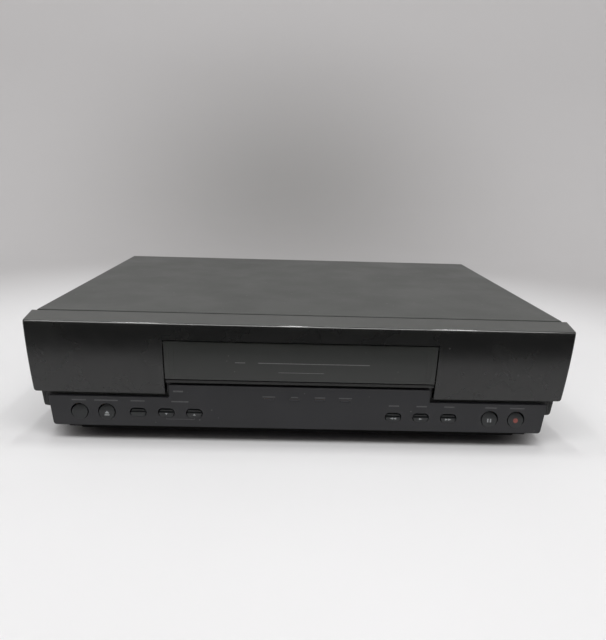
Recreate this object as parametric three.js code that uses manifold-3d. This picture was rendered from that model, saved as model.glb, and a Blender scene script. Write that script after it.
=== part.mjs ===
// A VHS video cassette recorder: folded steel cover, moulded front with a sprung cassette door,
// a control panel with ten keys, and the tape mechanism, boards and sockets inside.
// Millimetres. X to the right, Y to the back, Z up. The origin is under the middle of the case.
import * as THREE from "three";
import { mergeVertices } from "three/addons/utils/BufferGeometryUtils.js";
import Module from "manifold-3d";

const wasm = await Module();
wasm.setup();

// Clearances and stock
const seatGap = 0.3;
const overrun = 1;
const mergeTolerance = 0.0001;
const coverSheet = 1;
const panelSheet = 1.2;
const bracketSheet = 1.5;
const holderSheet = 1;
const mouldedWall = 2.4;
const boardThickness = 1.6;
const pinRadius = 1.5;

// Case
const bodyDepth = 284;
const socketReach = 8;
const footHeight = 8.5;
const footRadius = 11;
const footRecess = 1.5;
const footInset = 43;
const footFrontSetback = 41;
const footRearInset = 33;
const coverTop = 94;
const coverHalfWidth = 187;
const coverBottom = 23.5;
const coverBend = 1.6;
const coverSetback = 18.8;
const ventWidth = 3;
const ventHeight = 26;
const ventPitch = 7;
const ventCount = 7;
const ventLow = 40;
const ventRear = 30;

// Tub under the cover
const tubWall = 2;
const tubFloorInset = 18;
const tubFlankInset = 5.5;
const tubFlankTop = 21.8;
const tubRimHeight = 6.5;
const tubRearMargin = 3;
const noseSetback = 12.3;
const noseHeight = 5;
const noseChamfer = 2;
const floorSlotWidth = 3;
const floorSlotLength = 40;
const floorSlotPitch = 9;
const floorSlotCount = 4;
const floorSlotInset = 27;
const floorSlotSetback = 146;
const boardPostRadius = 3;
const deckPostRadius = 4;

// Front bezel with its visor, and the front frame under it
const visorOverhang = 3;
const visorDraft = 1.3;
const visorTop = 90.4;
const visorBottom = 37.1;
const visorRound = 1.6;
const visorFaceTop = 87.4;
const visorRecede = 5.5;
const visorBow = 1.2;
const visorCurve = 1.8;
const seamDepth = 18.3;
const seamTop = 92.6;
const apronDepth = 9;
const apronInset = 5.8;
const apronDraft = 1.4;
const apronBottom = 23.5;
const apronCorner = 2.8;
const apronSkirtInset = 10.2;
const apronSkirtBottom = 12.9;
const centreHalfWidth = 95.4;
const sillTop = 48.2;
const sillHeight = 2.2;
const sillDepth = 4.6;
const guideWallDepth = 14;
const guideWallTop = 80.5;

// Cassette door
const doorHalfWidth = 95.6;
const doorTop = 77.8;
const doorBottom = 48.8;
const doorThickness = 2.2;
const doorRecess = 0.8;
const doorBead = 1.6;
const doorPinRadius = 1.1;
const doorPinLength = 2.4;
const doorRibWidth = 1.4;
const doorRibDepth = 1.6;
const doorRibPitch = 36;

// Control panel
const panelInset = 6.8;
const panelDraft = 1.4;
const panelWingTop = 34.6;
const panelCentreTop = 44.2;
const panelCentreHalfWidth = 93;
const panelBottom = 12.5;
const panelCorner = 2.6;
const panelTopDepth = 4.8;
const panelBottomDepth = 5.9;
const panelWall = 2;
const panelNotchX = -11.4;
const panelNotchHalfWidth = 6;
const panelNotchDepth = 1.2;

// Keys: places along the panel, sizes and travel
const keyHeight = 22.4;
const outerRoundInset = 20.6;
const roundKeyPitch = 19.2;
const leftCapsulesAway = 22.3;
const rightCapsulesAway = 30;
const capsulePitch = 20;
const roundKeyRadius = 5.85;
const roundKeyDish = 1.5;
const roundKeySides = 18;
const capsuleHalfWidth = 5.6;
const capsuleHalfHeight = 2.95;
const capsuleStep = 1.4;
const capsuleRamp = 0.6;
const keyFlangeMargin = 1.2;
const keyFlangeThickness = 1.1;
const keyFlangeDepth = 8.2;
const keyStemRadius = 1.7;
const keyStemEnd = 10.8;

// Front board with switches and indicators
const frontBoardDepth = 16.5;
const frontBoardInset = 2.8;
const frontBoardBottom = 14.2;
const frontBoardTop = 40;
const switchHalfWidth = 3;
const switchDepth = 3.4;
const plungerRadius = 1.6;
const plungerLength = 0.8;
const indicatorPitch = 18.2;
const indicatorCentreX = 5.2;
const indicatorHeight = 35.6;
const indicatorHalfWidth = 3.2;
const indicatorHalfHeight = 0.6;
const windowMargin = 9;
const windowBottom = 14.6;
const windowTop = 30.2;
const bossRadius = 2.6;
const bossAside = 17.6;
const bossInset = 2.8;
const bossHeight = 20;

// Boards and power parts inside
const boardLift = 16;
const mainBoardLeft = -98;
const boardInset = 16;
const mainBoardSetback = 30;
const boardRearMargin = 5;
const powerBoardRight = -114;
const powerBoardReach = 134;
const transformerWidth = 42;
const transformerDepth = 36;
const transformerHeight = 34;
const transformerReach = 78;
const bobbinBulge = 4;
const sinkWidth = 40;
const sinkHeight = 30;
const sinkReach = 128;
const sinkFin = 2;
const sinkFinLength = 14;
const sinkFinCount = 7;
const capacitorRadius = 9;
const capacitorHeight = 30;
const capacitorAside = 13;
const capacitorInset = 30;
const chipWidth = 14;
const chipDepth = 30;
const chipHeight = 3;
const chipAside = 19;
const smallCanAside = 6;
const smallCanRadius = 4;
const smallCanHeight = 11;

// Rear sockets
const rearPanelInset = 2.7;
const rearPanelBottom = 8.8;
const inletAside = 23;
const inletHalfWidth = 12;
const inletHeight = 18;
const inletBodyDepth = 20;
const inletFlange = 2;
const inletRecessHalfWidth = 7.6;
const inletRecessRadius = 4.6;
const inletRecessDepth = 12;
const inletPinRadius = 1.2;
const inletPinHalfPitch = 3.5;
const tunerAside = 3;
const tunerWidth = 50;
const tunerDepth = 56;
const tunerHeight = 42;
const aerialRadius = 4.7;
const aerialBore = 1.5;
const aerialLow = 31;
const aerialPitch = 18;
const avAside = 14;
const avWidth = 38;
const avDepth = 13;
const avHeight = 40;
const avJackRadius = 4.2;
const avJackReach = 6;
const avPitchX = 18;
const avPitchZ = 18;
const avJackLow = 29;

// Mechanism deck
const deckTop = 31.5;
const deckHalfWidth = 110;
const deckSetback = 34;
const deckRearMargin = 18;
const deckFlange = 7;
const deckPostX = 104;
const deckPostFrontInset = 12;
const deckPostRearInset = 12;

// Cassette carriage
const holderHalfWidth = 95.9;
const holderSetback = 34;
const holderDepth = 90;
const holderBottom = 49.3;
const holderTop = 78.3;
const holderLip = 22;
const holderWindowWidth = 110;
const holderWindowDepth = 46;
const holderFall = 12.5;
const holderInward = 60;
const holderPinHeight = 62;
const holderPinInset = 14;
const holderPinPitch = 36;
const sliderClearance = 1;
const sliderMargin = 7;
const sliderBottom = 45;
const sliderTop = 82.5;
const sliderBarWidth = 6;
const sliderBarHeight = 2.3;
const sliderPinPitch = 18;
const sliderPinHeight = 70;
const sideClearance = 1;
const sideFront = 30;
const sideRearMargin = 123;
const sideTop = 84;
const sideFoot = 7;
const bridgeDepth = 26;
const bridgeInset = 4;

// Head drum
const drumInset = 36;
const drumRadius = 31;
const drumTiltDegrees = 5;
const drumBase = 4;
const lowerDrumHeight = 20;
const upperDrumHeight = 17;
const drumStep = 1.2;
const drumRecess = 4;
const drumHubRadius = 9;
const drumShaftRadius = 3;
const drumSides = 18;

// Tape guides
const guidePivotX = 4;
const guidePivotAhead = 4;
const guideRadius = 46.9;
const guideRestDegrees = 230.2;
const guideCarrierRadius = 7;
const guideCarrierHeight = 4;
const guidePostTop = 61;
const guideRollerRadius = 3.2;
const guideRollerBottom = 38;
const guideRollerTop = 58;
const guideWasherRadius = 3.8;
const guideWasherHeight = 1.2;
const guideSwingDegrees = 50.2;
const slotSteps = 6;

// Fixed heads
const eraseX = -66;
const eraseAhead = 22;
const controlX = 58;
const controlAhead = 10;
const headBaseWidth = 12;
const headBaseDepth = 15;
const headBaseHeight = 2;
const headWidth = 8;
const headDepth = 12;
const headTop = 58;
const headFaceRadius = 9;

// Capstan and pinch roller
const capstanX = 66;
const capstanAhead = 32;
const capstanTop = 60;
const flywheelRadius = 22;
const flywheelBottom = 19.8;
const flywheelHeight = 7.6;
const bearingRadius = 4.2;
const bearingFlangeRadius = 9;
const bearingFlangeHeight = 1.5;
const bearingTop = 36.5;
const bearingBottom = 28.3;
const pinchPivotX = 92;
const pinchPivotAhead = 24;
const pinchArmLength = 17.98;
const pinchRestDegrees = 170.9;
const pinchArmWidth = 8;
const pinchArmBottom = 34;
const pinchArmHeight = 2.5;
const pinchRollerRadius = 7.5;
const pinchRollerHeight = 20;
const pinchBossTop = 44;

// Reel tables and idler
const reelHalfPitch = 46;
const reelAhead = 94;
const reelTeeth = 16;
const reelRadius = 16;
const toothDepth = 1.8;
const reelGearHeight = 3.5;
const reelHubRadius = 11;
const reelHubHeight = 2;
const spindleRadius = 3.6;
const spindleHeight = 10;
const splineReach = 1.6;
const splineWidth = 1.6;
const idlerPivotAhead = 124;
const idlerArmLength = 32;
const idlerRadius = 10;
const idlerHeight = 3.6;
const idlerArmWidth = 7;
const idlerArmHeight = 2;

// Tension arm
const tensionPivotX = -66;
const tensionPivotAhead = 62;
const tensionPostX = -39;
const tensionPostAhead = 49;
const tensionArmWidth = 6;
const tensionArmHeight = 2;
const tensionPostTop = 56;

// Loading drive
const camX = -76;
const camBehind = 12;
const camTeeth = 22;
const camPitchRadius = 16;
const camToothDepth = 2;
const camHeight = 4;
const camCentreHeight = 42;
const camHubRadius = 6;
const wormPitchRadius = 4;
const wormThreadDepth = 2;
const wormLength = 18;
const wormStepsRound = 12;
const wormStepsPerTurn = 6;
const motorRadius = 10;
const motorLength = 32;
const motorNose = 6;
const motorShaftRadius = 1.2;
const motorFootHalfWidth = 8;

// Places worked out from the sizes above
const front = -(bodyDepth + socketReach) / 2;
const behind = (depth) => front + depth;
const rear = front + bodyDepth;
const floorTop = footHeight + tubWall;
const boardTop = boardLift + boardThickness;
const rearPanelBack = bodyDepth - rearPanelInset + panelSheet;
const deckBottom = deckTop - bracketSheet;
const onDeck = deckTop + seatGap;
const runningRadius = pinRadius + seatGap;
const tubHalfFloor = coverHalfWidth - tubFloorInset;
const tubFlankHalfWidth = coverHalfWidth - tubFlankInset;
const visorHalfWidth = coverHalfWidth + visorOverhang;
const apronHalfWidth = visorHalfWidth - apronInset;
const apronSkirtHalfWidth = apronHalfWidth - apronSkirtInset;
const panelTopHalfWidth = apronHalfWidth - panelInset;
const panelBottomHalfWidth = panelTopHalfWidth - panelDraft;
const outerRoundX = panelTopHalfWidth - outerRoundInset;
const innerRoundX = outerRoundX - roundKeyPitch;
const capsuleInnerLeftX = innerRoundX - leftCapsulesAway - 2 * capsulePitch;
const capsuleInnerRightX = innerRoundX - rightCapsulesAway - 2 * capsulePitch;
const frontBoardHalfWidth = apronSkirtHalfWidth - frontBoardInset;
const bossOuterX = frontBoardHalfWidth - bossInset;
const bossInnerX = capsuleInnerRightX - bossAside;
const mainBoardRight = coverHalfWidth - boardInset;
const powerBoardLeft = -mainBoardRight;
const powerBoardFront = rear - powerBoardReach;
const tunerLeft = mainBoardRight - tunerAside - tunerWidth;
const avLeft = tunerLeft - avAside - avWidth;
const inletX = powerBoardLeft + inletAside;
const deckFront = behind(deckSetback);
const deckRear = rear - deckRearMargin;
const sideDepth = bodyDepth - sideRearMargin;
const drumY = deckRear - drumInset;
const guidePivotY = drumY - guidePivotAhead;
const eraseY = drumY - eraseAhead;
const controlY = drumY - controlAhead;
const capstanY = drumY - capstanAhead;
const pinchPivotY = drumY - pinchPivotAhead;
const reelY = drumY - reelAhead;
const idlerPivotY = drumY - idlerPivotAhead;
const tensionPivotY = drumY - tensionPivotAhead;
const tensionPostY = drumY - tensionPostAhead;
const camY = drumY + camBehind;

// Finishes
const charcoalPaint = { color: 0x4a4d49, roughness: 0.62, metalness: 0 };
const visorPlastic = { color: 0x2b2c2c, roughness: 0.38, metalness: 0 };
const doorPlastic = { color: 0x2f3230, roughness: 0.4, metalness: 0 };
const panelPlastic = { color: 0x2a2c30, roughness: 0.45, metalness: 0 };
const keyPlastic = { color: 0x26292a, roughness: 0.5, metalness: 0 };
const tubPlastic = { color: 0x1a1b1c, roughness: 0.7, metalness: 0 };
const rubber = { color: 0x161616, roughness: 0.9, metalness: 0 };
const plainSteel = { color: 0xb4b6b8, roughness: 0.35, metalness: 1 };
const brightSteel = { color: 0xd0d2d4, roughness: 0.18, metalness: 1 };
const aluminium = { color: 0xc4c6c9, roughness: 0.3, metalness: 1 };
const greenBoard = { color: 0x2d5a34, roughness: 0.55, metalness: 0 };
const brownBoard = { color: 0x8a6a3c, roughness: 0.65, metalness: 0 };
const blackPlastic = { color: 0x202020, roughness: 0.5, metalness: 0 };
const whitePlastic = { color: 0xd8d6cc, roughness: 0.5, metalness: 0 };
const copperWinding = { color: 0x9a5a2c, roughness: 0.45, metalness: 0.6 };

// Solids from three.js geometry

function signedVolume(points, index) {
  let six = 0;
  const corner = (i) => new THREE.Vector3().fromArray(points, 3 * index[i]);
  for (let i = 0; i < index.length; i += 3) {
    six += corner(i).dot(corner(i + 1).cross(corner(i + 2)));
  }
  return six / 6;
}

function solidOf(geometry) {
  const bare = geometry.clone();
  bare.deleteAttribute("normal");
  bare.deleteAttribute("uv");
  const merged = mergeVertices(bare, mergeTolerance);
  const points = merged.attributes.position.array;
  const index = merged.index.array;
  const kept = [];
  for (let i = 0; i < index.length; i += 3) {
    const [a, b, c] = [index[i], index[i + 1], index[i + 2]];
    if (a !== b && b !== c && c !== a) kept.push(a, b, c);
  }
  if (signedVolume(points, kept) < 0) kept.reverse();
  const mesh = new wasm.Mesh({
    numProp: 3,
    vertProperties: points,
    triVerts: new Uint32Array(kept),
  });
  return new wasm.Manifold(mesh);
}

const asSolid = (shape) => (shape.isBufferGeometry ? solidOf(shape) : shape);

function join(first, ...rest) {
  return rest.flat().reduce((all, one) => all.add(asSolid(one)), asSolid(first));
}

function cut(first, ...rest) {
  return rest.flat().reduce((left, one) => left.subtract(asSolid(one)), asSolid(first));
}

function common(first, ...rest) {
  return rest.flat().reduce((left, one) => left.intersect(asSolid(one)), asSolid(first));
}

function geometryOf(solid) {
  const mesh = asSolid(solid).getMesh();
  const points = new Float32Array(mesh.numVert * 3);
  for (let i = 0; i < mesh.numVert; i += 1) {
    const at = i * mesh.numProp;
    points.set(mesh.vertProperties.subarray(at, at + 3), i * 3);
  }
  const geometry = new THREE.BufferGeometry();
  geometry.setAttribute("position", new THREE.BufferAttribute(points, 3));
  geometry.setIndex(new THREE.BufferAttribute(mesh.triVerts, 1));
  geometry.computeVertexNormals();
  return geometry;
}

// Outlines and prisms. An outline lies across its axis: X takes (y, z), Y takes (x, z), Z takes (x, y).

const alongX = new THREE.Vector3(1, 0, 0);
const alongY = new THREE.Vector3(0, 1, 0);
const alongZ = new THREE.Vector3(0, 0, 1);
const backwards = new THREE.Vector3(0, -1, 0);
const turnFor = {
  X: new THREE.Matrix4().makeBasis(alongY, alongZ, alongX),
  Y: new THREE.Matrix4().makeBasis(alongX, alongZ, backwards),
  Z: new THREE.Matrix4(),
};

function outline(points) {
  return new THREE.Shape(points.map(([u, v]) => new THREE.Vector2(u, v)));
}

// A polygon whose corners are rounded by the radius given third.
function roundedOutline(points) {
  const shape = new THREE.Shape();
  const count = points.length;
  points.forEach(([u, v, radius = 0], i) => {
    const here = new THREE.Vector2(u, v);
    const before = new THREE.Vector2(...points[(i + count - 1) % count].slice(0, 2)).sub(here);
    const after = new THREE.Vector2(...points[(i + 1) % count].slice(0, 2)).sub(here);
    const half = before.angleTo(after) / 2;
    const reach = radius / Math.tan(half);
    const start = here.clone().add(before.setLength(reach));
    const end = here.clone().add(after.setLength(reach));
    if (i === 0) shape.moveTo(start.x, start.y);
    else shape.lineTo(start.x, start.y);
    if (radius > 0) shape.quadraticCurveTo(u, v, end.x, end.y);
  });
  shape.closePath();
  return shape;
}

function mirrored(rightHalf) {
  const left = rightHalf.map(([u, v, ...radius]) => [-u, v, ...radius]).reverse();
  return [...rightHalf, ...left];
}

function rectangle([u0, u1], [v0, v1], radius = 0) {
  return roundedOutline([
    [u0, v0, radius],
    [u1, v0, radius],
    [u1, v1, radius],
    [u0, v1, radius],
  ]);
}

// A slot with round ends between two points.
function slotOutline([u0, v0], [u1, v1], radius) {
  const angle = Math.atan2(v1 - v0, u1 - u0);
  const shape = new THREE.Shape();
  shape.absarc(u1, v1, radius, angle - Math.PI / 2, angle + Math.PI / 2);
  shape.absarc(u0, v0, radius, angle + Math.PI / 2, angle + (3 * Math.PI) / 2);
  shape.closePath();
  return shape;
}

function prism(axis, shape, from, to, curveSegments = 4) {
  const settings = { depth: to - from, bevelEnabled: false, curveSegments };
  const geometry = new THREE.ExtrudeGeometry(shape, settings);
  geometry.translate(0, 0, axis === "Y" ? -to : from);
  return geometry.applyMatrix4(turnFor[axis]);
}

function block([x0, x1], [y0, y1], [z0, z1]) {
  const geometry = new THREE.BoxGeometry(x1 - x0, y1 - y0, z1 - z0);
  return geometry.translate((x0 + x1) / 2, (y0 + y1) / 2, (z0 + z1) / 2);
}

function pin(axis, [u, v], radius, from, to, sides = 8) {
  const geometry = new THREE.CylinderGeometry(radius, radius, to - from, sides);
  geometry.rotateX(Math.PI / 2);
  geometry.translate(u, v, axis === "Y" ? -(from + to) / 2 : (from + to) / 2);
  return geometry.applyMatrix4(turnFor[axis]);
}

// A turned solid about Z from a profile of (radius, height) that runs up the outside.
function turned(profile, sides = 24, [x, y] = [0, 0]) {
  const points = profile.map(([radius, height]) => new THREE.Vector2(radius, height));
  const geometry = new THREE.LatheGeometry(points, sides);
  return geometry.rotateX(Math.PI / 2).translate(x, y, 0);
}

// A skin through rings of points, closed by a cap at each end.
function loft(rings) {
  const count = rings[0].length;
  const positions = rings.flat(2);
  const index = [];
  for (let k = 0; k + 1 < rings.length; k += 1) {
    for (let i = 0; i < count; i += 1) {
      const a = k * count + i;
      const b = k * count + ((i + 1) % count);
      index.push(a, b, a + count, b, b + count, a + count);
    }
  }
  const flat = rings[0].map(([, y, z]) => new THREE.Vector2(y, z));
  const last = (rings.length - 1) * count;
  for (const [a, b, c] of THREE.ShapeUtils.triangulateShape(flat, [])) {
    index.push(c, b, a, last + a, last + b, last + c);
  }
  if (THREE.ShapeUtils.isClockWise(flat)) {
    for (let i = 6 * count * (rings.length - 1); i < index.length; i += 3) {
      [index[i], index[i + 1]] = [index[i + 1], index[i]];
    }
  }
  const geometry = new THREE.BufferGeometry();
  geometry.setAttribute("position", new THREE.Float32BufferAttribute(positions, 3));
  geometry.setIndex(index);
  return geometry;
}

function gearOutline(teeth, tipRadius, depth) {
  const step = (2 * Math.PI) / teeth;
  const tipShare = 0.14;
  const rootShare = 0.27;
  const points = [];
  for (let i = 0; i < teeth; i += 1) {
    for (const [share, radius] of [
      [-rootShare, tipRadius - depth],
      [-tipShare, tipRadius],
      [tipShare, tipRadius],
      [rootShare, tipRadius - depth],
    ]) {
      const angle = (i + share) * step;
      points.push([radius * Math.cos(angle), radius * Math.sin(angle)]);
    }
  }
  return outline(points);
}

// The recorder as a scene graph

const recorder = new THREE.Group();

function piece(name, solid, finish, place = [0, 0, 0]) {
  const mesh = new THREE.Mesh(geometryOf(solid), new THREE.MeshStandardMaterial(finish));
  mesh.name = name;
  mesh.position.set(...place);
  recorder.add(mesh);
  return mesh;
}

// How far the visor's face lies behind the front at a height.
function visorDepth(z) {
  const share = (visorFaceTop - z) / (visorFaceTop - visorBottom);
  return visorRecede * Math.max(share, 0) ** visorCurve;
}

// The visor's section as (depth, height, share of the bow that it takes).
function visorSection(inset, low) {
  const faceSteps = 6;
  const roundSteps = 3;
  const points = [[seamDepth + (inset ? overrun : 0), seamTop - inset, 0]];
  for (let i = 0; i <= roundSteps; i += 1) {
    const angle = (Math.PI / 2) * (1 + i / roundSteps);
    const radius = Math.max(visorRound - inset, visorRound / 5);
    const centre = inset + radius;
    const depth = centre + Math.cos(angle) * radius;
    points.push([depth, visorTop - centre + Math.sin(angle) * radius, 1]);
  }
  for (let i = 1; i <= faceSteps; i += 1) {
    const z = visorFaceTop + ((low - visorFaceTop) * i) / faceSteps;
    points.push([visorDepth(z) + inset, z, 1]);
  }
  points.push([seamDepth + (inset ? overrun : 0), low, 0]);
  return points;
}

// The section swept across the front, bowed in plan, drawn in towards its lower edge.
function visorSweep(section, halfWidth, corner) {
  const stations = [];
  const bowSteps = 8;
  const cornerSteps = corner > 0 ? 3 : 0;
  for (let i = 0; i < cornerSteps; i += 1) {
    const angle = (Math.PI / 2) * (1 - i / cornerSteps);
    stations.push([-1, corner * Math.sin(angle), corner * (1 - Math.cos(angle))]);
  }
  for (let i = 0; i <= bowSteps; i += 1) {
    stations.push([-1 + (2 * i) / bowSteps, 0, 0]);
  }
  for (let i = cornerSteps - 1; i >= 0; i -= 1) {
    const angle = (Math.PI / 2) * (1 - i / cornerSteps);
    stations.push([1, corner * Math.sin(angle), corner * (1 - Math.cos(angle))]);
  }
  return loft(
    stations.map(([share, outward, back]) =>
      section.map(([depth, z, bowed]) => {
        const drop = Math.max(visorFaceTop - z, 0) / (visorFaceTop - visorBottom);
        const half = halfWidth - visorDraft * drop - corner;
        const x = share * half + Math.sign(share) * outward;
        const y = behind(depth + bowed * (visorBow * share ** 2 + back));
        return [x, Math.min(y, behind(seamDepth + overrun)), z];
      }),
    ),
  );
}

// The visor: two wings and the strip over the door, with walls that guide the door.
function makeBezel() {
  const shell = visorSweep(visorSection(0, visorBottom), visorHalfWidth, visorRound);
  const hollow = visorSweep(
    visorSection(mouldedWall, visorBottom + mouldedWall),
    visorHalfWidth - mouldedWall,
    0,
  );
  const boardRoom = block(
    [-frontBoardHalfWidth - overrun, frontBoardHalfWidth + overrun],
    [behind(apronDepth + mouldedWall), behind(seamDepth + overrun)],
    [visorBottom - overrun, visorBottom + mouldedWall + overrun],
  );
  const guideIn = doorHalfWidth + seatGap;
  const through = [front - overrun, behind(seamDepth + overrun)];
  const recess = block(
    [-centreHalfWidth, centreHalfWidth],
    through,
    [visorBottom - overrun, sillTop + overrun],
  );
  const opening = block([-guideIn, guideIn], through, [sillTop, doorTop + seatGap]);
  const guideWalls = [-1, 1].map((side) => {
    const reach = [side * guideIn, side * (guideIn + mouldedWall + doorPinLength / 2)];
    return block(
      reach.sort((a, b) => a - b),
      [behind(mouldedWall), behind(guideWallDepth)],
      [visorBottom + mouldedWall / 2, guideWallTop],
    );
  });
  const hinge = [behind(hingeDepth), hingeHeight];
  const pinReach = doorHalfWidth + doorPinLength + seatGap;
  const hingeBore = pin("X", hinge, doorPinRadius + seatGap, -pinReach, pinReach);
  return cut(join(cut(shell, hollow, boardRoom), guideWalls), recess, opening, hingeBore);
}

// The frame behind the control panel, with the wall and the sill under the door.
function makeFrontFrame() {
  const frameTop = visorBottom - seatGap;
  const centreHalf = centreHalfWidth - seatGap;
  const apronLow = apronHalfWidth - apronDraft;
  const apronOutline = roundedOutline(
    mirrored([
      [apronSkirtHalfWidth, apronSkirtBottom],
      [apronSkirtHalfWidth, apronBottom],
      [apronLow, apronBottom, apronCorner],
      [apronHalfWidth, frameTop],
    ]),
  );
  const apron = prism("Y", apronOutline, behind(apronDepth), behind(seamDepth));
  const apronHollow = prism(
    "Y",
    outline(
      mirrored([
        [apronSkirtHalfWidth - mouldedWall, apronSkirtBottom - overrun],
        [apronSkirtHalfWidth - mouldedWall, apronBottom + mouldedWall],
        [apronLow - mouldedWall, apronBottom + mouldedWall],
        [apronHalfWidth - mouldedWall, frameTop + overrun],
      ]),
    ),
    behind(apronDepth + mouldedWall),
    behind(seamDepth + overrun),
  );
  const wallSpan = [behind(apronDepth), behind(apronDepth + mouldedWall)];
  const centreWall = block([-centreHalf, centreHalf], wallSpan, [frameTop - overrun, sillTop]);
  const sill = block(
    [-centreHalf, centreHalf],
    [behind(sillDepth), behind(apronDepth + mouldedWall)],
    [sillTop - sillHeight, sillTop],
  );
  const windowSpan = [behind(apronDepth) - overrun, behind(apronDepth + mouldedWall) + overrun];
  const outerWindow = outerRoundX + windowMargin;
  const windows = [
    [-outerWindow, -capsuleInnerLeftX + windowMargin],
    [capsuleInnerRightX - windowMargin, outerWindow],
  ].map((span) => block(span, windowSpan, [windowBottom, windowTop]));
  const indicatorReach = 1.5 * indicatorPitch + 2 * indicatorHalfWidth;
  const indicatorWindow = block(
    [indicatorCentreX - indicatorReach, indicatorCentreX + indicatorReach],
    windowSpan,
    [indicatorHeight - 3 * indicatorHalfHeight, indicatorHeight + 3 * indicatorHalfHeight],
  );
  const bosses = [-bossOuterX, -bossInnerX, bossInnerX, bossOuterX].map((x) =>
    pin(
      "Y",
      [x, bossHeight],
      bossRadius,
      behind(apronDepth + mouldedWall / 2),
      behind(frontBoardDepth - seatGap),
      10,
    ),
  );
  const shell = join(cut(apron, apronHollow), centreWall, sill);
  return join(cut(shell, windows, indicatorWindow), bosses);
}

const hingeHeight = doorTop - doorBead;
const hingeDepth = visorDepth(hingeHeight) + doorRecess + doorBead;

function makeDoor() {
  const steps = 5;
  const outer = [];
  const inner = [];
  for (let i = 0; i <= steps; i += 1) {
    const z = hingeHeight + ((doorBottom - hingeHeight) * i) / steps;
    const depth = visorDepth(z) + doorRecess;
    outer.push([behind(depth), z]);
    inner.unshift([behind(depth + doorThickness), z]);
  }
  const halves = [-doorHalfWidth, doorHalfWidth];
  const leaf = prism("X", outline([...outer, ...inner]), ...halves);
  const axis = [behind(hingeDepth), hingeHeight];
  const bead = pin("X", axis, doorBead, ...halves, 10);
  const pinHalf = doorHalfWidth + doorPinLength;
  const hingePin = pin("X", axis, doorPinRadius, -pinHalf, pinHalf);
  const ribs = [-2, -1, 0, 1, 2].map((place) => {
    const x = place * doorRibPitch;
    const depth = visorDepth(doorBottom) + doorRecess + doorThickness;
    return block(
      [x - doorRibWidth / 2, x + doorRibWidth / 2],
      [behind(depth - doorThickness), behind(depth - doorThickness / 2 + doorRibDepth / 2)],
      [doorBottom + doorRibDepth, hingeHeight - 4 * doorBead],
    );
  });
  return join(leaf, bead, hingePin, ribs);
}

// How far the control panel's face lies behind the front at a height.
function panelDepth(z) {
  const share = (panelWingTop - z) / (panelWingTop - panelBottom);
  return panelTopDepth + (panelBottomDepth - panelTopDepth) * share;
}

const roundKeys = [
  ["power_button", -outerRoundX],
  ["stop_eject_button", -innerRoundX],
  ["pause_button", innerRoundX],
  ["record_button", outerRoundX],
];
const capsuleKeys = [
  ["television_video_button", -capsuleInnerLeftX - 2 * capsulePitch],
  ["channel_down_button", -capsuleInnerLeftX - capsulePitch],
  ["channel_up_button", -capsuleInnerLeftX],
  ["rewind_button", capsuleInnerRightX],
  ["play_button", capsuleInnerRightX + capsulePitch],
  ["fast_forward_button", capsuleInnerRightX + 2 * capsulePitch],
];
const indicatorPlaces = [-1.5, -0.5, 0.5, 1.5].map((k) => indicatorCentreX + k * indicatorPitch);

function panelOutline(inset) {
  return roundedOutline(
    mirrored([
      [panelBottomHalfWidth - inset, panelBottom + inset, panelCorner],
      [panelTopHalfWidth - inset, panelWingTop - inset, panelWall / 2],
      [panelCentreHalfWidth - inset, panelWingTop - inset],
      [panelCentreHalfWidth - inset, panelCentreTop - inset, panelWall / 2],
    ]),
  );
}

function panelSlab(inset, from) {
  const low = panelBottom - overrun;
  const high = panelCentreTop + overrun;
  const section = [
    [behind(panelDepth(high) + from), high],
    [behind(panelDepth(low) + from), low],
    [behind(apronDepth) + overrun, low],
    [behind(apronDepth) + overrun, high],
  ];
  const half = panelTopHalfWidth + overrun;
  const back = behind(apronDepth - seatGap) + (inset ? overrun : 0);
  const plan = prism("Y", panelOutline(inset), front, back);
  return common(plan, prism("X", outline(section), -half, half));
}

function makePanel() {
  const shell = cut(panelSlab(0, 0), panelSlab(panelWall, panelWall));
  const through = [front, behind(apronDepth)];
  const roundHoles = roundKeys.map(([, x]) =>
    pin("Y", [x, keyHeight], roundKeyRadius + seatGap, ...through, roundKeySides),
  );
  const capsuleHoles = capsuleKeys.map(([, x]) => capsuleBar(x, seatGap, ...through));
  const lights = indicatorPlaces.map((x) =>
    block(
      [x - indicatorHalfWidth - seatGap, x + indicatorHalfWidth + seatGap],
      through,
      [
        indicatorHeight - indicatorHalfHeight - seatGap,
        indicatorHeight + indicatorHalfHeight + seatGap,
      ],
    ),
  );
  const notch = prism(
    "Y",
    rectangle(
      [panelNotchX - panelNotchHalfWidth, panelNotchX + panelNotchHalfWidth],
      [panelCentreTop - panelNotchDepth, panelCentreTop + overrun],
    ),
    front,
    behind(panelTopDepth + panelWall / 2),
  );
  return cut(shell, roundHoles, capsuleHoles, lights, notch);
}

function capsuleBar(x, margin, from, to) {
  const reach = capsuleHalfWidth - capsuleHalfHeight;
  const ends = [
    [x - reach, keyHeight],
    [x + reach, keyHeight],
  ];
  return prism("Y", slotOutline(...ends, capsuleHalfHeight + margin), from, to);
}

// A key: its cap cut to a face, a flange that stops it behind the panel, and a stem.
function makeKey(cap, face, flange) {
  const stem = pin("Y", [0, 0], keyStemRadius, behind(keyFlangeDepth), behind(keyStemEnd), 6);
  return join(common(cap, face), flange, stem);
}

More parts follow.
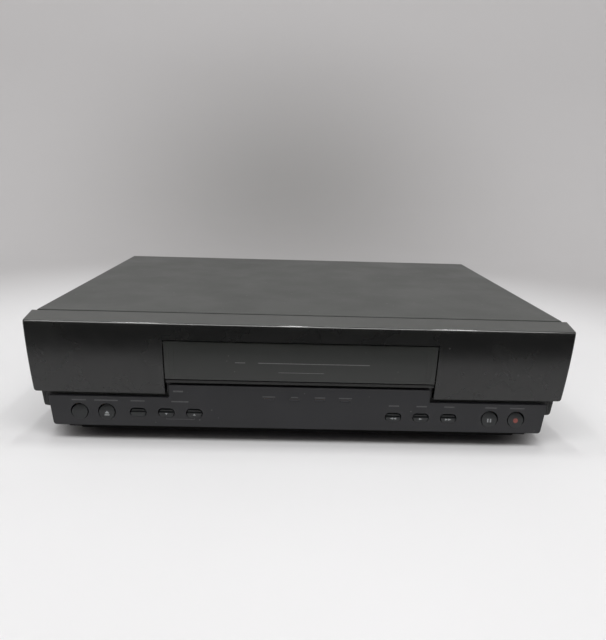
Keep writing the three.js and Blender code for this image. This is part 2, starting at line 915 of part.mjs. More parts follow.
function makeRoundKey() {
  const low = -roundKeyRadius;
  const high = roundKeyRadius;
  const back = behind(keyFlangeDepth + keyFlangeThickness / 2);
  const cap = pin("Y", [0, 0], roundKeyRadius, front, back, roundKeySides);
  const face = prism(
    "X",
    outline([
      [behind(panelDepth(keyHeight + low)), low - overrun],
      [behind(panelDepth(keyHeight + high) + roundKeyDish), high + overrun],
      [back, high + overrun],
      [back, low - overrun],
    ]),
    low,
    high,
  );
  const flangeEnd = behind(keyFlangeDepth + keyFlangeThickness);
  const flangeRadius = roundKeyRadius + keyFlangeMargin;
  const flange = pin("Y", [0, 0], flangeRadius, behind(keyFlangeDepth), flangeEnd);
  return makeKey(cap, face, flange);
}

function makeCapsuleKey() {
  const low = -capsuleHalfHeight;
  const high = capsuleHalfHeight;
  const back = behind(keyFlangeDepth + keyFlangeThickness / 2);
  const cap = capsuleBar(0, 0, front, back).translate(0, 0, -keyHeight);
  const middle = panelDepth(keyHeight);
  const face = prism(
    "X",
    outline([
      [behind(panelDepth(keyHeight + low)), low - overrun],
      [behind(middle), 0],
      [behind(middle + capsuleStep), capsuleRamp],
      [behind(middle + capsuleStep), high + overrun],
      [back, high + overrun],
      [back, low - overrun],
    ]),
    -capsuleHalfWidth,
    capsuleHalfWidth,
  );
  const flangeEnd = behind(keyFlangeDepth + keyFlangeThickness);
  const flange = block(
    [-capsuleHalfWidth - keyFlangeMargin, capsuleHalfWidth + keyFlangeMargin],
    [behind(keyFlangeDepth), flangeEnd],
    [low - keyFlangeMargin, high + keyFlangeMargin],
  );
  return makeKey(cap, face, flange);
}

function makeCover() {
  const shell = (inset, low, from, to) =>
    prism(
      "Y",
      roundedOutline(
        mirrored([
          [coverHalfWidth - inset, low],
          [coverHalfWidth - inset, coverTop - inset, coverBend - inset],
        ]),
      ),
      from,
      to,
    );
  const outer = shell(0, coverBottom, behind(coverSetback), rear);
  const inner = shell(
    coverSheet,
    coverBottom - overrun,
    behind(coverSetback) - overrun,
    rear + overrun,
  );
  const vents = [];
  for (let i = 0; i < ventCount; i += 1) {
    const y = rear - ventRear - i * ventPitch;
    const ends = [
      [y, ventLow],
      [y, ventLow + ventHeight],
    ];
    const reach = coverHalfWidth + overrun;
    vents.push(prism("X", slotOutline(...ends, ventWidth / 2), -reach, reach, 2));
  }
  return cut(outer, inner, vents);
}

const boardPosts = [
  [mainBoardLeft + 10 * boardPostRadius, behind(mainBoardSetback + 4 * boardPostRadius)],
  [mainBoardRight - 2 * boardPostRadius, behind(mainBoardSetback + 4 * boardPostRadius)],
  [mainBoardLeft + 10 * boardPostRadius, rear - 8 * boardPostRadius],
  [mainBoardRight - 2 * boardPostRadius, rear - 8 * boardPostRadius],
  [powerBoardLeft + 2 * boardPostRadius, powerBoardFront + 2 * boardPostRadius],
  [powerBoardRight - 2 * boardPostRadius, powerBoardFront + 2 * boardPostRadius],
  [powerBoardRight - 2 * boardPostRadius, rear - 8 * boardPostRadius],
];
const deckPosts = [-1, 1].flatMap((side) => [
  [side * deckPostX, deckFront + deckPostFrontInset],
  [side * deckPostX, deckRear - deckPostRearInset],
]);

function makeTub() {
  const rim = coverBottom - seatGap;
  const rimIn = coverHalfWidth - coverSheet - seatGap;
  const rimTop = rim + tubRimHeight;
  const edge = coverHalfWidth - seatGap;
  const section = outline(
    mirrored([
      [tubHalfFloor, footHeight],
      [tubFlankHalfWidth, tubFlankTop],
      [edge, tubFlankTop],
      [edge, rim],
      [rimIn, rim],
      [rimIn, rimTop],
      [rimIn - tubWall, rimTop],
      [rimIn - tubWall, rim + seatGap],
      [tubFlankHalfWidth - tubWall / 2, rim + seatGap],
      [tubHalfFloor - tubWall / 2, floorTop],
    ]),
  );
  const start = behind(coverSetback);
  const end = rear - tubRearMargin;
  const trough = prism("Y", section, start, end);
  const noseOutline = (top) =>
    outline(
      mirrored([
        [tubHalfFloor - noseChamfer, footHeight],
        [tubHalfFloor, footHeight + noseChamfer],
        [tubHalfFloor, top],
      ]),
    );
  const noseBack = behind(noseSetback + tubWall);
  const noseTop = footHeight + noseHeight;
  const noseWall = prism("Y", noseOutline(noseTop), behind(noseSetback), noseBack);
  const noseFloor = prism(
    "Y",
    noseOutline(floorTop + noseChamfer / 4),
    behind(noseSetback),
    start + overrun,
  );
  const posts = boardPosts.map((at) =>
    pin("Z", at, boardPostRadius, floorTop - tubWall / 2, boardLift - seatGap, 6),
  );
  const columns = deckPosts.map((at) =>
    pin("Z", at, deckPostRadius, floorTop - tubWall / 2, deckBottom - seatGap),
  );
  const slots = [];
  for (const side of [-1, 1]) {
    for (let i = 0; i < floorSlotCount; i += 1) {
      const x = side * (tubHalfFloor - floorSlotInset);
      const y = behind(floorSlotSetback) + i * floorSlotPitch;
      const ends = [
        [x - floorSlotLength / 2, y],
        [x + floorSlotLength / 2, y],
      ];
      const shape = slotOutline(...ends, floorSlotWidth / 2);
      slots.push(prism("Z", shape, footHeight - overrun, floorTop + overrun, 2));
    }
  }
  return join(cut(join(trough, noseWall, noseFloor), slots), posts, columns);
}

function makeFoot() {
  return turned(
    [
      [0, footRecess],
      [footRadius * 0.62, footRecess],
      [footRadius * 0.66, 0],
      [footRadius * 0.88, 0],
      [footRadius, footRecess],
      [footRadius, footHeight - seatGap],
      [0, footHeight - seatGap],
    ],
    12,
  );
}

const panelBack = front + rearPanelBack;
const panelFront = panelBack - panelSheet;

function makeRearPanel() {
  const rimIn = coverHalfWidth - coverSheet - seatGap;
  const bottomHalf = tubHalfFloor - tubWall / 4;
  const sheet = prism(
    "Y",
    outline(
      mirrored([
        [bottomHalf, rearPanelBottom],
        [tubFlankHalfWidth - tubWall / 2, tubFlankTop + tubWall / 4],
        [rimIn, coverBottom],
        [rimIn, coverTop - coverSheet - coverBend],
        [rimIn - coverBend, coverTop - coverSheet - seatGap],
      ]),
    ),
    panelFront,
    panelBack,
  );
  const through = [panelFront - overrun, panelBack + overrun];
  const inletHole = block(
    [inletX - inletHalfWidth - seatGap, inletX + inletHalfWidth + seatGap],
    through,
    [boardTop, boardTop + inletHeight + 2 * seatGap],
  );
  const aerialHoles = aerialPlaces.map((at) =>
    pin("Y", at, aerialRadius + 2 * seatGap, ...through, 12),
  );
  const avHoles = avPlaces.map((at) => pin("Y", at, avJackRadius + 2 * seatGap, ...through, 10));
  const vents = [];
  for (let i = 0; i < ventCount; i += 1) {
    const x = -ventPitch * (ventCount - i);
    const ends = [
      [x, ventLow + ventHeight / 2],
      [x, ventLow + ventHeight * 1.5],
    ];
    vents.push(prism("Y", slotOutline(...ends, ventWidth / 2), ...through, 2));
  }
  return cut(sheet, inletHole, aerialHoles, avHoles, vents);
}

const aerialX = tunerLeft + tunerWidth / 2;
const aerialPlaces = [0, 1].map((k) => [aerialX, aerialLow + k * aerialPitch]);
const avPlaces = [0, 1].flatMap((column) =>
  [0, 1].map((row) => [
    avLeft + avWidth / 2 + (column - 0.5) * avPitchX,
    avJackLow + row * avPitchZ,
  ]),
);
const onBoard = boardTop + seatGap;

function makeTuner() {
  const back = panelFront - seatGap;
  const can = block(
    [tunerLeft, tunerLeft + tunerWidth],
    [back - tunerDepth, back],
    [onBoard, onBoard + tunerHeight],
  );
  const lidInset = 3 * bracketSheet;
  const lid = block(
    [tunerLeft + lidInset, tunerLeft + tunerWidth - lidInset],
    [back - tunerDepth + lidInset, back - lidInset],
    [onBoard + tunerHeight - overrun, onBoard + tunerHeight + bracketSheet],
  );
  const noses = aerialPlaces.flatMap((at) => [
    pin("Y", at, aerialRadius, back - overrun, rear + socketReach, 12),
  ]);
  const bores = aerialPlaces.map((at) =>
    pin("Y", at, aerialBore, rear, rear + socketReach + overrun),
  );
  return cut(join(can, lid, noses), bores);
}

function makeAvBlock() {
  const back = panelFront - seatGap;
  const body = block(
    [avLeft, avLeft + avWidth],
    [back - avDepth, back],
    [onBoard, onBoard + avHeight],
  );
  const sleeves = avPlaces.map((at) =>
    pin("Y", at, avJackRadius, back - overrun, rear + avJackReach, 10),
  );
  const bores = avPlaces.map((at) =>
    pin("Y", at, pinRadius, rear - avJackReach, rear + avJackReach + overrun),
  );
  return cut(join(body, sleeves), bores);
}

function makeInlet() {
  const flangeBack = panelBack + seatGap + inletFlange;
  const low = onBoard;
  const high = onBoard + inletHeight - seatGap;
  const middle = (low + high) / 2;
  const body = block(
    [inletX - inletHalfWidth, inletX + inletHalfWidth],
    [flangeBack - inletBodyDepth, flangeBack],
    [low, high],
  );
  const lipReach = inletHalfWidth + 2 * inletFlange;
  const lip = prism(
    "Y",
    rectangle(
      [inletX - lipReach, inletX + lipReach],
      [low - inletFlange, high + inletFlange],
      inletFlange,
    ),
    panelBack + seatGap,
    flangeBack,
  );
  const ends = [-1, 1].map((side) => [
    inletX + side * (inletRecessHalfWidth - inletRecessRadius),
    middle,
  ]);
  const recess = prism(
    "Y",
    slotOutline(...ends, inletRecessRadius),
    flangeBack - inletRecessDepth,
    flangeBack + overrun,
  );
  const contacts = [-1, 1].map((side) =>
    pin(
      "Y",
      [inletX + side * inletPinHalfPitch, middle],
      inletPinRadius,
      flangeBack - inletRecessDepth - overrun,
      flangeBack - inletFlange,
    ),
  );
  return join(cut(join(body, lip), recess), contacts);
}

function makeFrontBoard() {
  const face = behind(frontBoardDepth);
  const board = block(
    [-frontBoardHalfWidth, frontBoardHalfWidth],
    [face, face + boardThickness],
    [frontBoardBottom, frontBoardTop],
  );
  const keys = [...roundKeys, ...capsuleKeys].map(([, x]) => x);
  const switches = keys.flatMap((x) => [
    block(
      [x - switchHalfWidth, x + switchHalfWidth],
      [face - switchDepth, face + boardThickness / 2],
      [keyHeight - switchHalfWidth, keyHeight + switchHalfWidth],
    ),
    pin(
      "Y",
      [x, keyHeight],
      plungerRadius,
      face - switchDepth - plungerLength,
      face - switchDepth / 2,
      6,
    ),
  ]);
  const lights = indicatorPlaces.map((x) =>
    block(
      [x - indicatorHalfWidth, x + indicatorHalfWidth],
      [behind(panelDepth(indicatorHeight) + seatGap), face + boardThickness / 2],
      [indicatorHeight - indicatorHalfHeight, indicatorHeight + indicatorHalfHeight],
    ),
  );
  return join(board, switches, lights);
}

function makeMainBoard() {
  const board = block(
    [mainBoardLeft, mainBoardRight],
    [behind(mainBoardSetback), rear - boardRearMargin],
    [boardLift, boardTop],
  );
  const holes = deckPosts.map((at) =>
    pin("Z", at, deckPostRadius + 2 * seatGap, boardLift - overrun, boardTop + overrun),
  );
  const sunk = boardTop - boardThickness / 2;
  const chipX = [mainBoardRight - chipAside - 2 * chipWidth, mainBoardRight - chipAside];
  const chips = chipX.flatMap((x) =>
    [0, 2, 4].map((row) => {
      const y = behind(mainBoardSetback + chipDepth * (1 + row * 0.6));
      return block(
        [x - chipWidth / 2, x + chipWidth / 2],
        [y - chipDepth / 2, y + chipDepth / 2],
        [sunk, boardTop + chipHeight],
      );
    }),
  );
  const cans = [0, 1, 2].map((k) => {
    const x = mainBoardRight - smallCanAside;
    const y = behind(mainBoardSetback + chipDepth * (1 + k));
    return pin("Z", [x, y], smallCanRadius, sunk, boardTop + smallCanHeight);
  });
  return join(cut(board, holes), chips, cans);
}

const capacitorX = powerBoardRight - capacitorAside;
const capacitorY = rear - capacitorInset;

function makePowerBoard() {
  return block(
    [powerBoardLeft, powerBoardRight],
    [powerBoardFront, rear - boardRearMargin],
    [boardLift, boardTop],
  );
}

function makeTransformer() {
  const x = (powerBoardLeft + powerBoardRight) / 2;
  const y = rear - transformerReach + transformerDepth / 2;
  const bobbinLow = onBoard + bobbinBulge;
  const core = block(
    [x - transformerWidth / 2, x + transformerWidth / 2],
    [y - transformerDepth / 2, y + transformerDepth / 2],
    [onBoard, onBoard + transformerHeight],
  );
  const winding = prism(
    "Z",
    rectangle(
      [x - transformerWidth / 3, x + transformerWidth / 3],
      [y - transformerDepth / 2 - bobbinBulge, y + transformerDepth / 2 + bobbinBulge],
      bobbinBulge,
    ),
    bobbinLow,
    onBoard + transformerHeight - bobbinBulge,
  );
  return join(core, winding);
}

function makeHeatSink() {
  const x = (powerBoardLeft + powerBoardRight) / 2;
  const y = rear - sinkReach;
  const pitch = (sinkWidth - sinkFin) / (sinkFinCount - 1);
  const spine = block(
    [x - sinkWidth / 2, x + sinkWidth / 2],
    [y, y + 2 * sinkFin],
    [onBoard, onBoard + sinkHeight],
  );
  const fins = [];
  for (let i = 0; i < sinkFinCount; i += 1) {
    const left = x - sinkWidth / 2 + i * pitch;
    fins.push(
      block(
        [left, left + sinkFin],
        [y + sinkFin, y + 2 * sinkFin + sinkFinLength],
        [onBoard, onBoard + sinkHeight],
      ),
    );
  }
  return join(spine, fins);
}

function makeCapacitor() {
  const top = onBoard + capacitorHeight;
  const crimp = capacitorRadius / 12;
  return turned(
    [
      [0, onBoard],
      [capacitorRadius, onBoard],
      [capacitorRadius, top - crimp],
      [capacitorRadius - crimp, top],
      [0, top],
    ],
    16,
    [capacitorX, capacitorY],
  );
}

// Points along the arc that a guide carrier follows, for the side -1 or 1.
function guideArc(side, radius, from, to, steps) {
  const points = [];
  for (let i = 0; i <= steps; i += 1) {
    const degrees = from + ((to - from) * i) / steps;
    const angle = THREE.MathUtils.degToRad(degrees);
    const x = guidePivotX + radius * Math.cos(angle);
    points.push([side === -1 ? x : -x, guidePivotY + radius * Math.sin(angle)]);
  }
  return points;
}

const guideLoadedDegrees = guideRestDegrees - guideSwingDegrees;

function guideSlot(side) {
  const half = pinRadius * 1.4 + seatGap;
  const arc = (radius) =>
    guideArc(side, radius, guideRestDegrees, guideLoadedDegrees, slotSteps);
  const band = outline([...arc(guideRadius - half), ...arc(guideRadius + half).reverse()]);
  const ends = [arc(guideRadius)[0], arc(guideRadius)[slotSteps]];
  const span = [deckBottom - overrun, deckTop + overrun];
  return [prism("Z", band, ...span), ...ends.map((at) => pin("Z", at, half, ...span, 10))];
}

const guideRest = (side) => guideArc(side, guideRadius, guideRestDegrees, guideRestDegrees, 1)[0];

const studs = [
  [[-reelHalfPitch, reelY], onDeck + spindleHeight],
  [[reelHalfPitch, reelY], onDeck + spindleHeight],
  [[0, idlerPivotY], onDeck + idlerHeight + idlerArmHeight],
  [[tensionPivotX, tensionPivotY], onDeck + 2 * tensionArmHeight],
  [[pinchPivotX, pinchPivotY], pinchBossTop + overrun],
  [[camX, camY], camCentreHeight + camHeight],
];

function makeDeck() {
  const plate = block(
    [-deckHalfWidth, deckHalfWidth],
    [deckFront, deckRear],
    [deckBottom, deckTop],
  );
  const flanges = [-1, 1].map((side) => {
    const span = [side * deckHalfWidth, side * (deckHalfWidth - bracketSheet)];
    return block(
      span.sort((a, b) => a - b),
      [deckFront + deckFlange, deckRear - deckFlange],
      [deckTop - deckFlange, deckTop - bracketSheet / 2],
    );
  });
  const frontFlange = block(
    [-deckHalfWidth + 3 * deckFlange, deckHalfWidth - 3 * deckFlange],
    [deckFront, deckFront + bracketSheet],
    [deckTop - deckFlange, deckTop - bracketSheet / 2],
  );
  const bearingHole = pin(
    "Z",
    [capstanX, capstanY],
    bearingRadius + seatGap,
    deckBottom - overrun,
    deckTop + overrun,
    12,
  );
  const sunk = deckTop - bracketSheet / 2;
  const pins = studs.map(([at, top]) => pin("Z", at, pinRadius, sunk, top));
  const guidePosts = [
    [eraseX + headWidth, eraseY - headBaseDepth - pinRadius],
    [controlX + headBaseDepth / 2, capstanY - headBaseDepth],
  ].map((at) =>
    turned(
      [
        [0, sunk],
        [2 * pinRadius, sunk],
        [2 * pinRadius, deckTop + guideCarrierHeight],
        [pinRadius, deckTop + guideCarrierHeight],
        [pinRadius, headTop - 2 * pinRadius],
        [2 * pinRadius, headTop - 2 * pinRadius],
        [2 * pinRadius, headTop - pinRadius],
        [0, headTop - pinRadius],
      ],
      8,
      at,
    ),
  );
  const sheet = join(plate, flanges, frontFlange);
  return join(cut(sheet, bearingHole, guideSlot(-1), guideSlot(1)), pins, guidePosts);
}

// Carriage: the holder inside the slider inside the two fixed sides.
const holderFront = behind(holderSetback);
const holderBack = holderFront + holderDepth;
const sliderIn = holderHalfWidth + sliderClearance;
const sliderOut = sliderIn + bracketSheet;
const sideIn = sliderOut + sideClearance;
const sideOut = sideIn + bracketSheet;
const holderPins = [0, 1].map((k) => holderFront + holderPinInset + k * holderPinPitch);
const holderPinMiddle = (holderPins[0] + holderPins[1]) / 2;
const sliderPins = [-1, 1].map((k) => holderPinMiddle + (k * sliderPinPitch) / 2);
const bothSides = (inner, outer) => [
  [-outer, -inner],
  [inner, outer],
];

function makeHolder() {
  const half = holderHalfWidth;
  const inner = half - holderSheet;
  const length = [holderFront, holderBack];
  const shell = cut(
    block([-half, half], length, [holderBottom, holderTop]),
    block(
      [-inner, inner],
      [holderFront - overrun, holderBack + overrun],
      [holderBottom + holderSheet, holderTop - holderSheet],
    ),
    block(
      [-half + holderLip, half - holderLip],
      [holderFront - overrun, holderBack + overrun],
      [holderBottom - overrun, holderBottom + holderSheet + overrun],
    ),
    prism(
      "Z",
      rectangle(
        [-holderWindowWidth / 2, holderWindowWidth / 2],
        [holderFront + holderLip, holderFront + holderLip + holderWindowDepth],
        3 * holderSheet,
      ),
      holderTop - holderSheet - overrun,
      holderTop + overrun,
      3,
    ),
  );
  const pins = bothSides(half - holderSheet / 2, sliderOut + sideClearance / 2).flatMap((span) =>
    holderPins.map((y) => pin("X", [y, holderPinHeight], pinRadius, ...span)),
  );
  return join(shell, pins);
}

function makeSlider() {
  const length = [holderPins[0] - sliderMargin, holderPins[1] + sliderMargin];
  const plates = bothSides(sliderIn, sliderOut).map((span) =>
    prism("X", rectangle(length, [sliderBottom, sliderTop], sliderMargin / 2), ...span, 2),
  );
  const reach = sliderOut + overrun;
  const slots = holderPins.map((y) => {
    const ends = [
      [y, holderPinHeight],
      [y, holderPinHeight - holderFall],
    ];
    return prism("X", slotOutline(...ends, runningRadius), -reach, reach, 3);
  });
  const bar = block(
    [-sliderOut, sliderOut],
    [holderPinMiddle - sliderBarWidth / 2, holderPinMiddle + sliderBarWidth / 2],
    [sliderTop - sliderBarHeight, sliderTop],
  );
  const pins = bothSides(sliderOut - bracketSheet / 2, sideOut + bracketSheet / 2).flatMap(
    (span) => sliderPins.map((y) => pin("X", [y, sliderPinHeight], pinRadius, ...span)),
  );
  return join(cut(join(...plates, bar), slots), pins);
}

function makeCarriageSide(side) {
  const [inner, outer] = [side * sideIn, side * sideOut].sort((a, b) => a - b);
  const start = behind(sideFront);
  const wall = prism(
    "X",
    roundedOutline([
      [start, onDeck],
      [start + sideDepth, onDeck],
      [start + sideDepth, sliderPinHeight + sliderMargin, sliderMargin],
      [start + sideDepth * 0.8, sideTop, sliderMargin],
      [start, sideTop],
    ]),
    inner,
    outer,
    3,
  );
  const footSpan = [side * sideIn, side * (sideOut + sideFoot)].sort((a, b) => a - b);
  const foot = block(
    footSpan,
    [deckFront + sideFoot, start + sideDepth],
    [onDeck, onDeck + bracketSheet],
  );
  const ends = [
    [sliderPins[0], sliderPinHeight],
    [sliderPins[1] + holderInward, sliderPinHeight],
  ];
  const track = prism("X", slotOutline(...ends, runningRadius), inner - overrun, outer + overrun);
  return cut(join(wall, foot), track);
}

function makeBridge() {
  const low = sideTop + seatGap;
  const start = behind(sideFront) + bridgeInset;
  const plate = block(
    [-sideOut, sideOut],
    [start, start + bridgeDepth],
    [low, low + bracketSheet],
  );
  const lip = block(
    [-sideOut, sideOut],
    [start, start + bracketSheet],
    [low + bracketSheet / 2, low + 3 * bracketSheet],
  );
  return join(plate, lip);
}

// Head drum, leaning back by its tilt.
const drumTilt = THREE.MathUtils.degToRad(drumTiltDegrees);

function drumGroupPlace(geometry) {
  return geometry.rotateX(-drumTilt).translate(0, drumY, onDeck + drumBase);
}

function makeLowerDrum() {
  const barrel = drumGroupPlace(
    turned(
      [
        [0, 0],
        [drumRadius, 0],
        [drumRadius, lowerDrumHeight - drumStep],
        [drumRadius - drumStep, lowerDrumHeight],
        [0, lowerDrumHeight],
      ],
      drumSides,
    ),
  );
  const baseHeight = drumBase + drumRadius * Math.sin(drumTilt);
  const base = turned(
    [
      [0, onDeck],
      [drumRadius + drumStep, onDeck],
      [drumRadius + drumStep, onDeck + drumBase / 2],
      [drumRadius - drumStep, onDeck + baseHeight],
      [0, onDeck + baseHeight],
    ],
    drumSides,
    [0, drumY],
  );
  return join(barrel, base);
}

function makeUpperDrum() {
  const low = lowerDrumHeight + seatGap;
  const high = low + upperDrumHeight;
  const barrel = turned(
    [
      [0, low],
      [drumRadius - drumStep, low],
      [drumRadius, low + drumStep],
      [drumRadius, high - drumStep],
      [drumRadius - drumStep, high],
      [drumRadius - 2 * drumRecess, high],
      [drumRadius - 2 * drumRecess, high - drumRecess],
      [drumHubRadius, high - drumRecess],
      [drumHubRadius, high],
      [drumShaftRadius, high],
      [drumShaftRadius, high + drumStep],
      [0, high + drumStep],
    ],
    drumSides,
  );
  const holes = [0, 1, 2].map((k) => {
    const angle = (2 * Math.PI * k) / 3;
    const radius = (drumHubRadius + drumRadius - 2 * drumRecess) / 2;
    const at = [radius * Math.cos(angle), radius * Math.sin(angle)];
    return pin("Z", at, 2 * pinRadius, low - overrun, high + overrun);
  });
  const windows = [0, 1, 2, 3].map((k) => {
    const cutter = block(
      [-drumStep, drumStep],
      [drumRadius - drumStep, drumRadius + overrun],
      [low - overrun, low + drumStep],
    );
    return cutter.rotateZ((Math.PI / 2) * k);
  });
  return drumGroupPlace(geometryOf(cut(barrel, holes, windows)));
}

function makeFixedHead([x, y], side) {
  const base = block(
    [x - headBaseWidth / 2, x + headBaseWidth / 2],
    [y - headBaseDepth / 2, y + headBaseDepth / 2],
    [onDeck, onDeck + headBaseHeight],
  );
  const body = block(
    [x - headWidth / 2, x + headWidth / 2],
    [y - headDepth / 2, y + headDepth / 2],
    [onDeck + headBaseHeight / 2, headTop],
  );
  const faceCentre = [x - side * (headFaceRadius - headWidth / 2 - 1.5 * pinRadius), y];
  const crown = pin("Z", faceCentre, headFaceRadius, onDeck + 3 * headBaseHeight, headTop, 20);
  const band = block(
    [x - headWidth, x + headWidth],
    [y - headDepth / 3, y + headDepth / 3],
    [onDeck + 3 * headBaseHeight, headTop],
  );
  const outward = block(
    [x - (side < 0 ? headWidth : 0), x + (side < 0 ? 0 : headWidth)],
    [y - headDepth, y + headDepth],
    [onDeck, headTop],
  );
  return join(base, body, common(crown, band, outward));
}

// A guide carrier rides on the deck with its foot through the slot.
function makeGuideCarrier() {
  const foot = pinRadius * 1.4;
  const washerTop = deckBottom - seatGap;
  const postBase = onDeck + guideCarrierHeight;
  const body = turned(
    [
      [0, washerTop - guideWasherHeight],
      [guideWasherRadius, washerTop - guideWasherHeight],
      [guideWasherRadius, washerTop],
      [foot, washerTop],
      [foot, onDeck],
      [guideCarrierRadius, onDeck],
      [guideCarrierRadius, postBase - pinRadius / 2],
      [guideCarrierRadius - pinRadius / 2, postBase],
      [2 * pinRadius, postBase],
      [pinRadius, guideRollerBottom - seatGap],
      [pinRadius, guideRollerTop + seatGap],
      [1.8 * pinRadius, guideRollerTop + seatGap],
      [1.8 * pinRadius, guidePostTop],
      [0, guidePostTop],
    ],
    8,
  );
  return body;
}

function makeGuideRoller() {
  const flange = guideRollerRadius + pinRadius / 2;
  return turned(
    [
      [runningRadius, guideRollerBottom],
      [flange, guideRollerBottom],
      [flange, guideRollerBottom + pinRadius],
      [guideRollerRadius, guideRollerBottom + pinRadius],
      [guideRollerRadius, guideRollerTop - pinRadius],
      [flange, guideRollerTop - pinRadius],
      [flange, guideRollerTop],
      [runningRadius, guideRollerTop],
      [runningRadius, guideRollerBottom],
    ],
    10,
  );
}

function makeCapstanBearing() {
  return turned(
    [
      [runningRadius, bearingBottom],
      [bearingRadius, bearingBottom],
      [bearingRadius, onDeck],
      [bearingFlangeRadius, onDeck],
      [bearingFlangeRadius, onDeck + bearingFlangeHeight],
      [bearingRadius, onDeck + bearingFlangeHeight],
      [bearingRadius, bearingTop],
      [runningRadius, bearingTop],
      [runningRadius, bearingBottom],
    ],
    10,
  );
}

function makeCapstan() {
  const high = flywheelBottom + flywheelHeight;
  return turned(
    [
      [0, flywheelBottom],
      [flywheelRadius - pinRadius, flywheelBottom],
      [flywheelRadius, flywheelBottom + pinRadius],
      [flywheelRadius, high - pinRadius],
      [flywheelRadius - pinRadius, high],
      [flywheelRadius * 0.8, high],
      [flywheelRadius * 0.76, high - pinRadius],
      [flywheelRadius * 0.3, high - pinRadius],
      [flywheelRadius * 0.26, high],
      [pinRadius, high],
      [pinRadius, capstanTop - pinRadius / 2],
      [pinRadius / 2, capstanTop],
      [0, capstanTop],
    ],
    16,
  );
}

// A flat arm with round ends between two points.
function makeArm([x0, y0], [x1, y1], width, low, height) {
  return prism("Z", slotOutline([x0, y0], [x1, y1], width / 2), low, low + height);
}

function polar([x, y], radius, degrees) {
  const angle = THREE.MathUtils.degToRad(degrees);
  return [x + radius * Math.cos(angle), y + radius * Math.sin(angle)];
}

const pinchPivot = [pinchPivotX, pinchPivotY];
const pinchRest = polar(pinchPivot, pinchArmLength, pinchRestDegrees);
const pinchRollerBottom = pinchArmBottom + pinchArmHeight + 2 * seatGap;

function makePinchArm() {
  const arm = makeArm(pinchPivot, pinchRest, pinchArmWidth, pinchArmBottom, pinchArmHeight);
  const boss = pin("Z", pinchPivot, pinchArmWidth / 2, onDeck, pinchBossTop);
  const bore = pin("Z", pinchPivot, runningRadius, onDeck - overrun, pinchBossTop + overrun);
  const axleTop = pinchRollerBottom + pinchRollerHeight + 2 * seatGap;
  const axle = pin("Z", pinchRest, pinRadius, pinchArmBottom + overrun, axleTop);
  const cap = pin("Z", pinchRest, 2 * pinRadius, axleTop - seatGap, axleTop + pinRadius);
  return cut(join(arm, boss, axle, cap), bore);
}

function makePinchRoller() {
  const bore = runningRadius;
  const high = pinchRollerHeight;
  const edge = pinRadius / 2;
  return turned(
    [
      [bore, 0],
      [pinchRollerRadius - edge, 0],
      [pinchRollerRadius, edge],
      [pinchRollerRadius, high - edge],
      [pinchRollerRadius - edge, high],
      [bore, high],
      [bore, 0],
    ],
    16,
  );
}

function makeReelTable() {
  const gear = prism("Z", gearOutline(reelTeeth, reelRadius, toothDepth), 0, reelGearHeight);
  const hubTop = reelGearHeight + reelHubHeight;
  const spindleTop = hubTop + spindleHeight;
  const hub = turned(
    [
      [0, reelGearHeight / 2],
      [reelHubRadius, reelGearHeight / 2],
      [reelHubRadius, hubTop],
      [spindleRadius, hubTop],
      [spindleRadius, spindleTop - spindleRadius / 2],
      [spindleRadius / 2, spindleTop],
      [0, spindleTop],
    ],
    12,
  );
  const splines = [0, 1, 2].map((k) => {
    const fin = block(
      [-splineWidth / 2, splineWidth / 2],
      [0, spindleRadius + splineReach],
      [hubTop - overrun, spindleTop - spindleRadius],
    );
    return fin.rotateZ((2 * Math.PI * k) / 3);
  });
  const bore = pin("Z", [0, 0], runningRadius, -overrun, spindleHeight + seatGap);
  return cut(join(gear, hub, splines), bore);
}

const idlerPivot = [0, idlerPivotY];
const idlerPlace = [0, idlerPivotY + idlerArmLength];
const idlerArmLow = onDeck + idlerHeight + seatGap;

function makeIdlerArm() {
  const arm = makeArm(idlerPivot, idlerPlace, idlerArmWidth, idlerArmLow, idlerArmHeight);
  const boss = pin("Z", idlerPivot, idlerArmWidth / 2, onDeck, idlerArmLow + overrun);
  const boreTop = idlerArmLow + 2 * idlerArmHeight;
  const bore = pin("Z", idlerPivot, runningRadius, onDeck - overrun, boreTop);
  const axle = pin("Z", idlerPlace, pinRadius, onDeck, idlerArmLow + idlerArmHeight / 2);
  return cut(join(arm, boss, axle), bore);
}

function makeIdlerWheel() {
  const groove = pinRadius / 2;
  return turned(
    [
      [runningRadius, 0],
      [idlerRadius - groove, 0],
      [idlerRadius, groove],
      [idlerRadius, idlerHeight - groove],
      [idlerRadius - groove, idlerHeight],
      [idlerRadius * 0.75, idlerHeight],
      [idlerRadius * 0.7, idlerHeight - groove],
      [idlerRadius * 0.35, idlerHeight - groove],
      [idlerRadius * 0.3, idlerHeight],
      [runningRadius, idlerHeight],
      [runningRadius, 0],
    ],
    14,
  );
}

function makeTensionArm() {
  const pivot = [tensionPivotX, tensionPivotY];
  const post = [tensionPostX, tensionPostY];
  const arm = makeArm(pivot, post, tensionArmWidth, onDeck, tensionArmHeight);
  const bore = pin("Z", pivot, runningRadius, onDeck - overrun, onDeck + 2 * tensionArmHeight);
  const pole = pin("Z", post, pinRadius, onDeck + overrun / 2, tensionPostTop);
  return join(cut(arm, bore), pole);
}

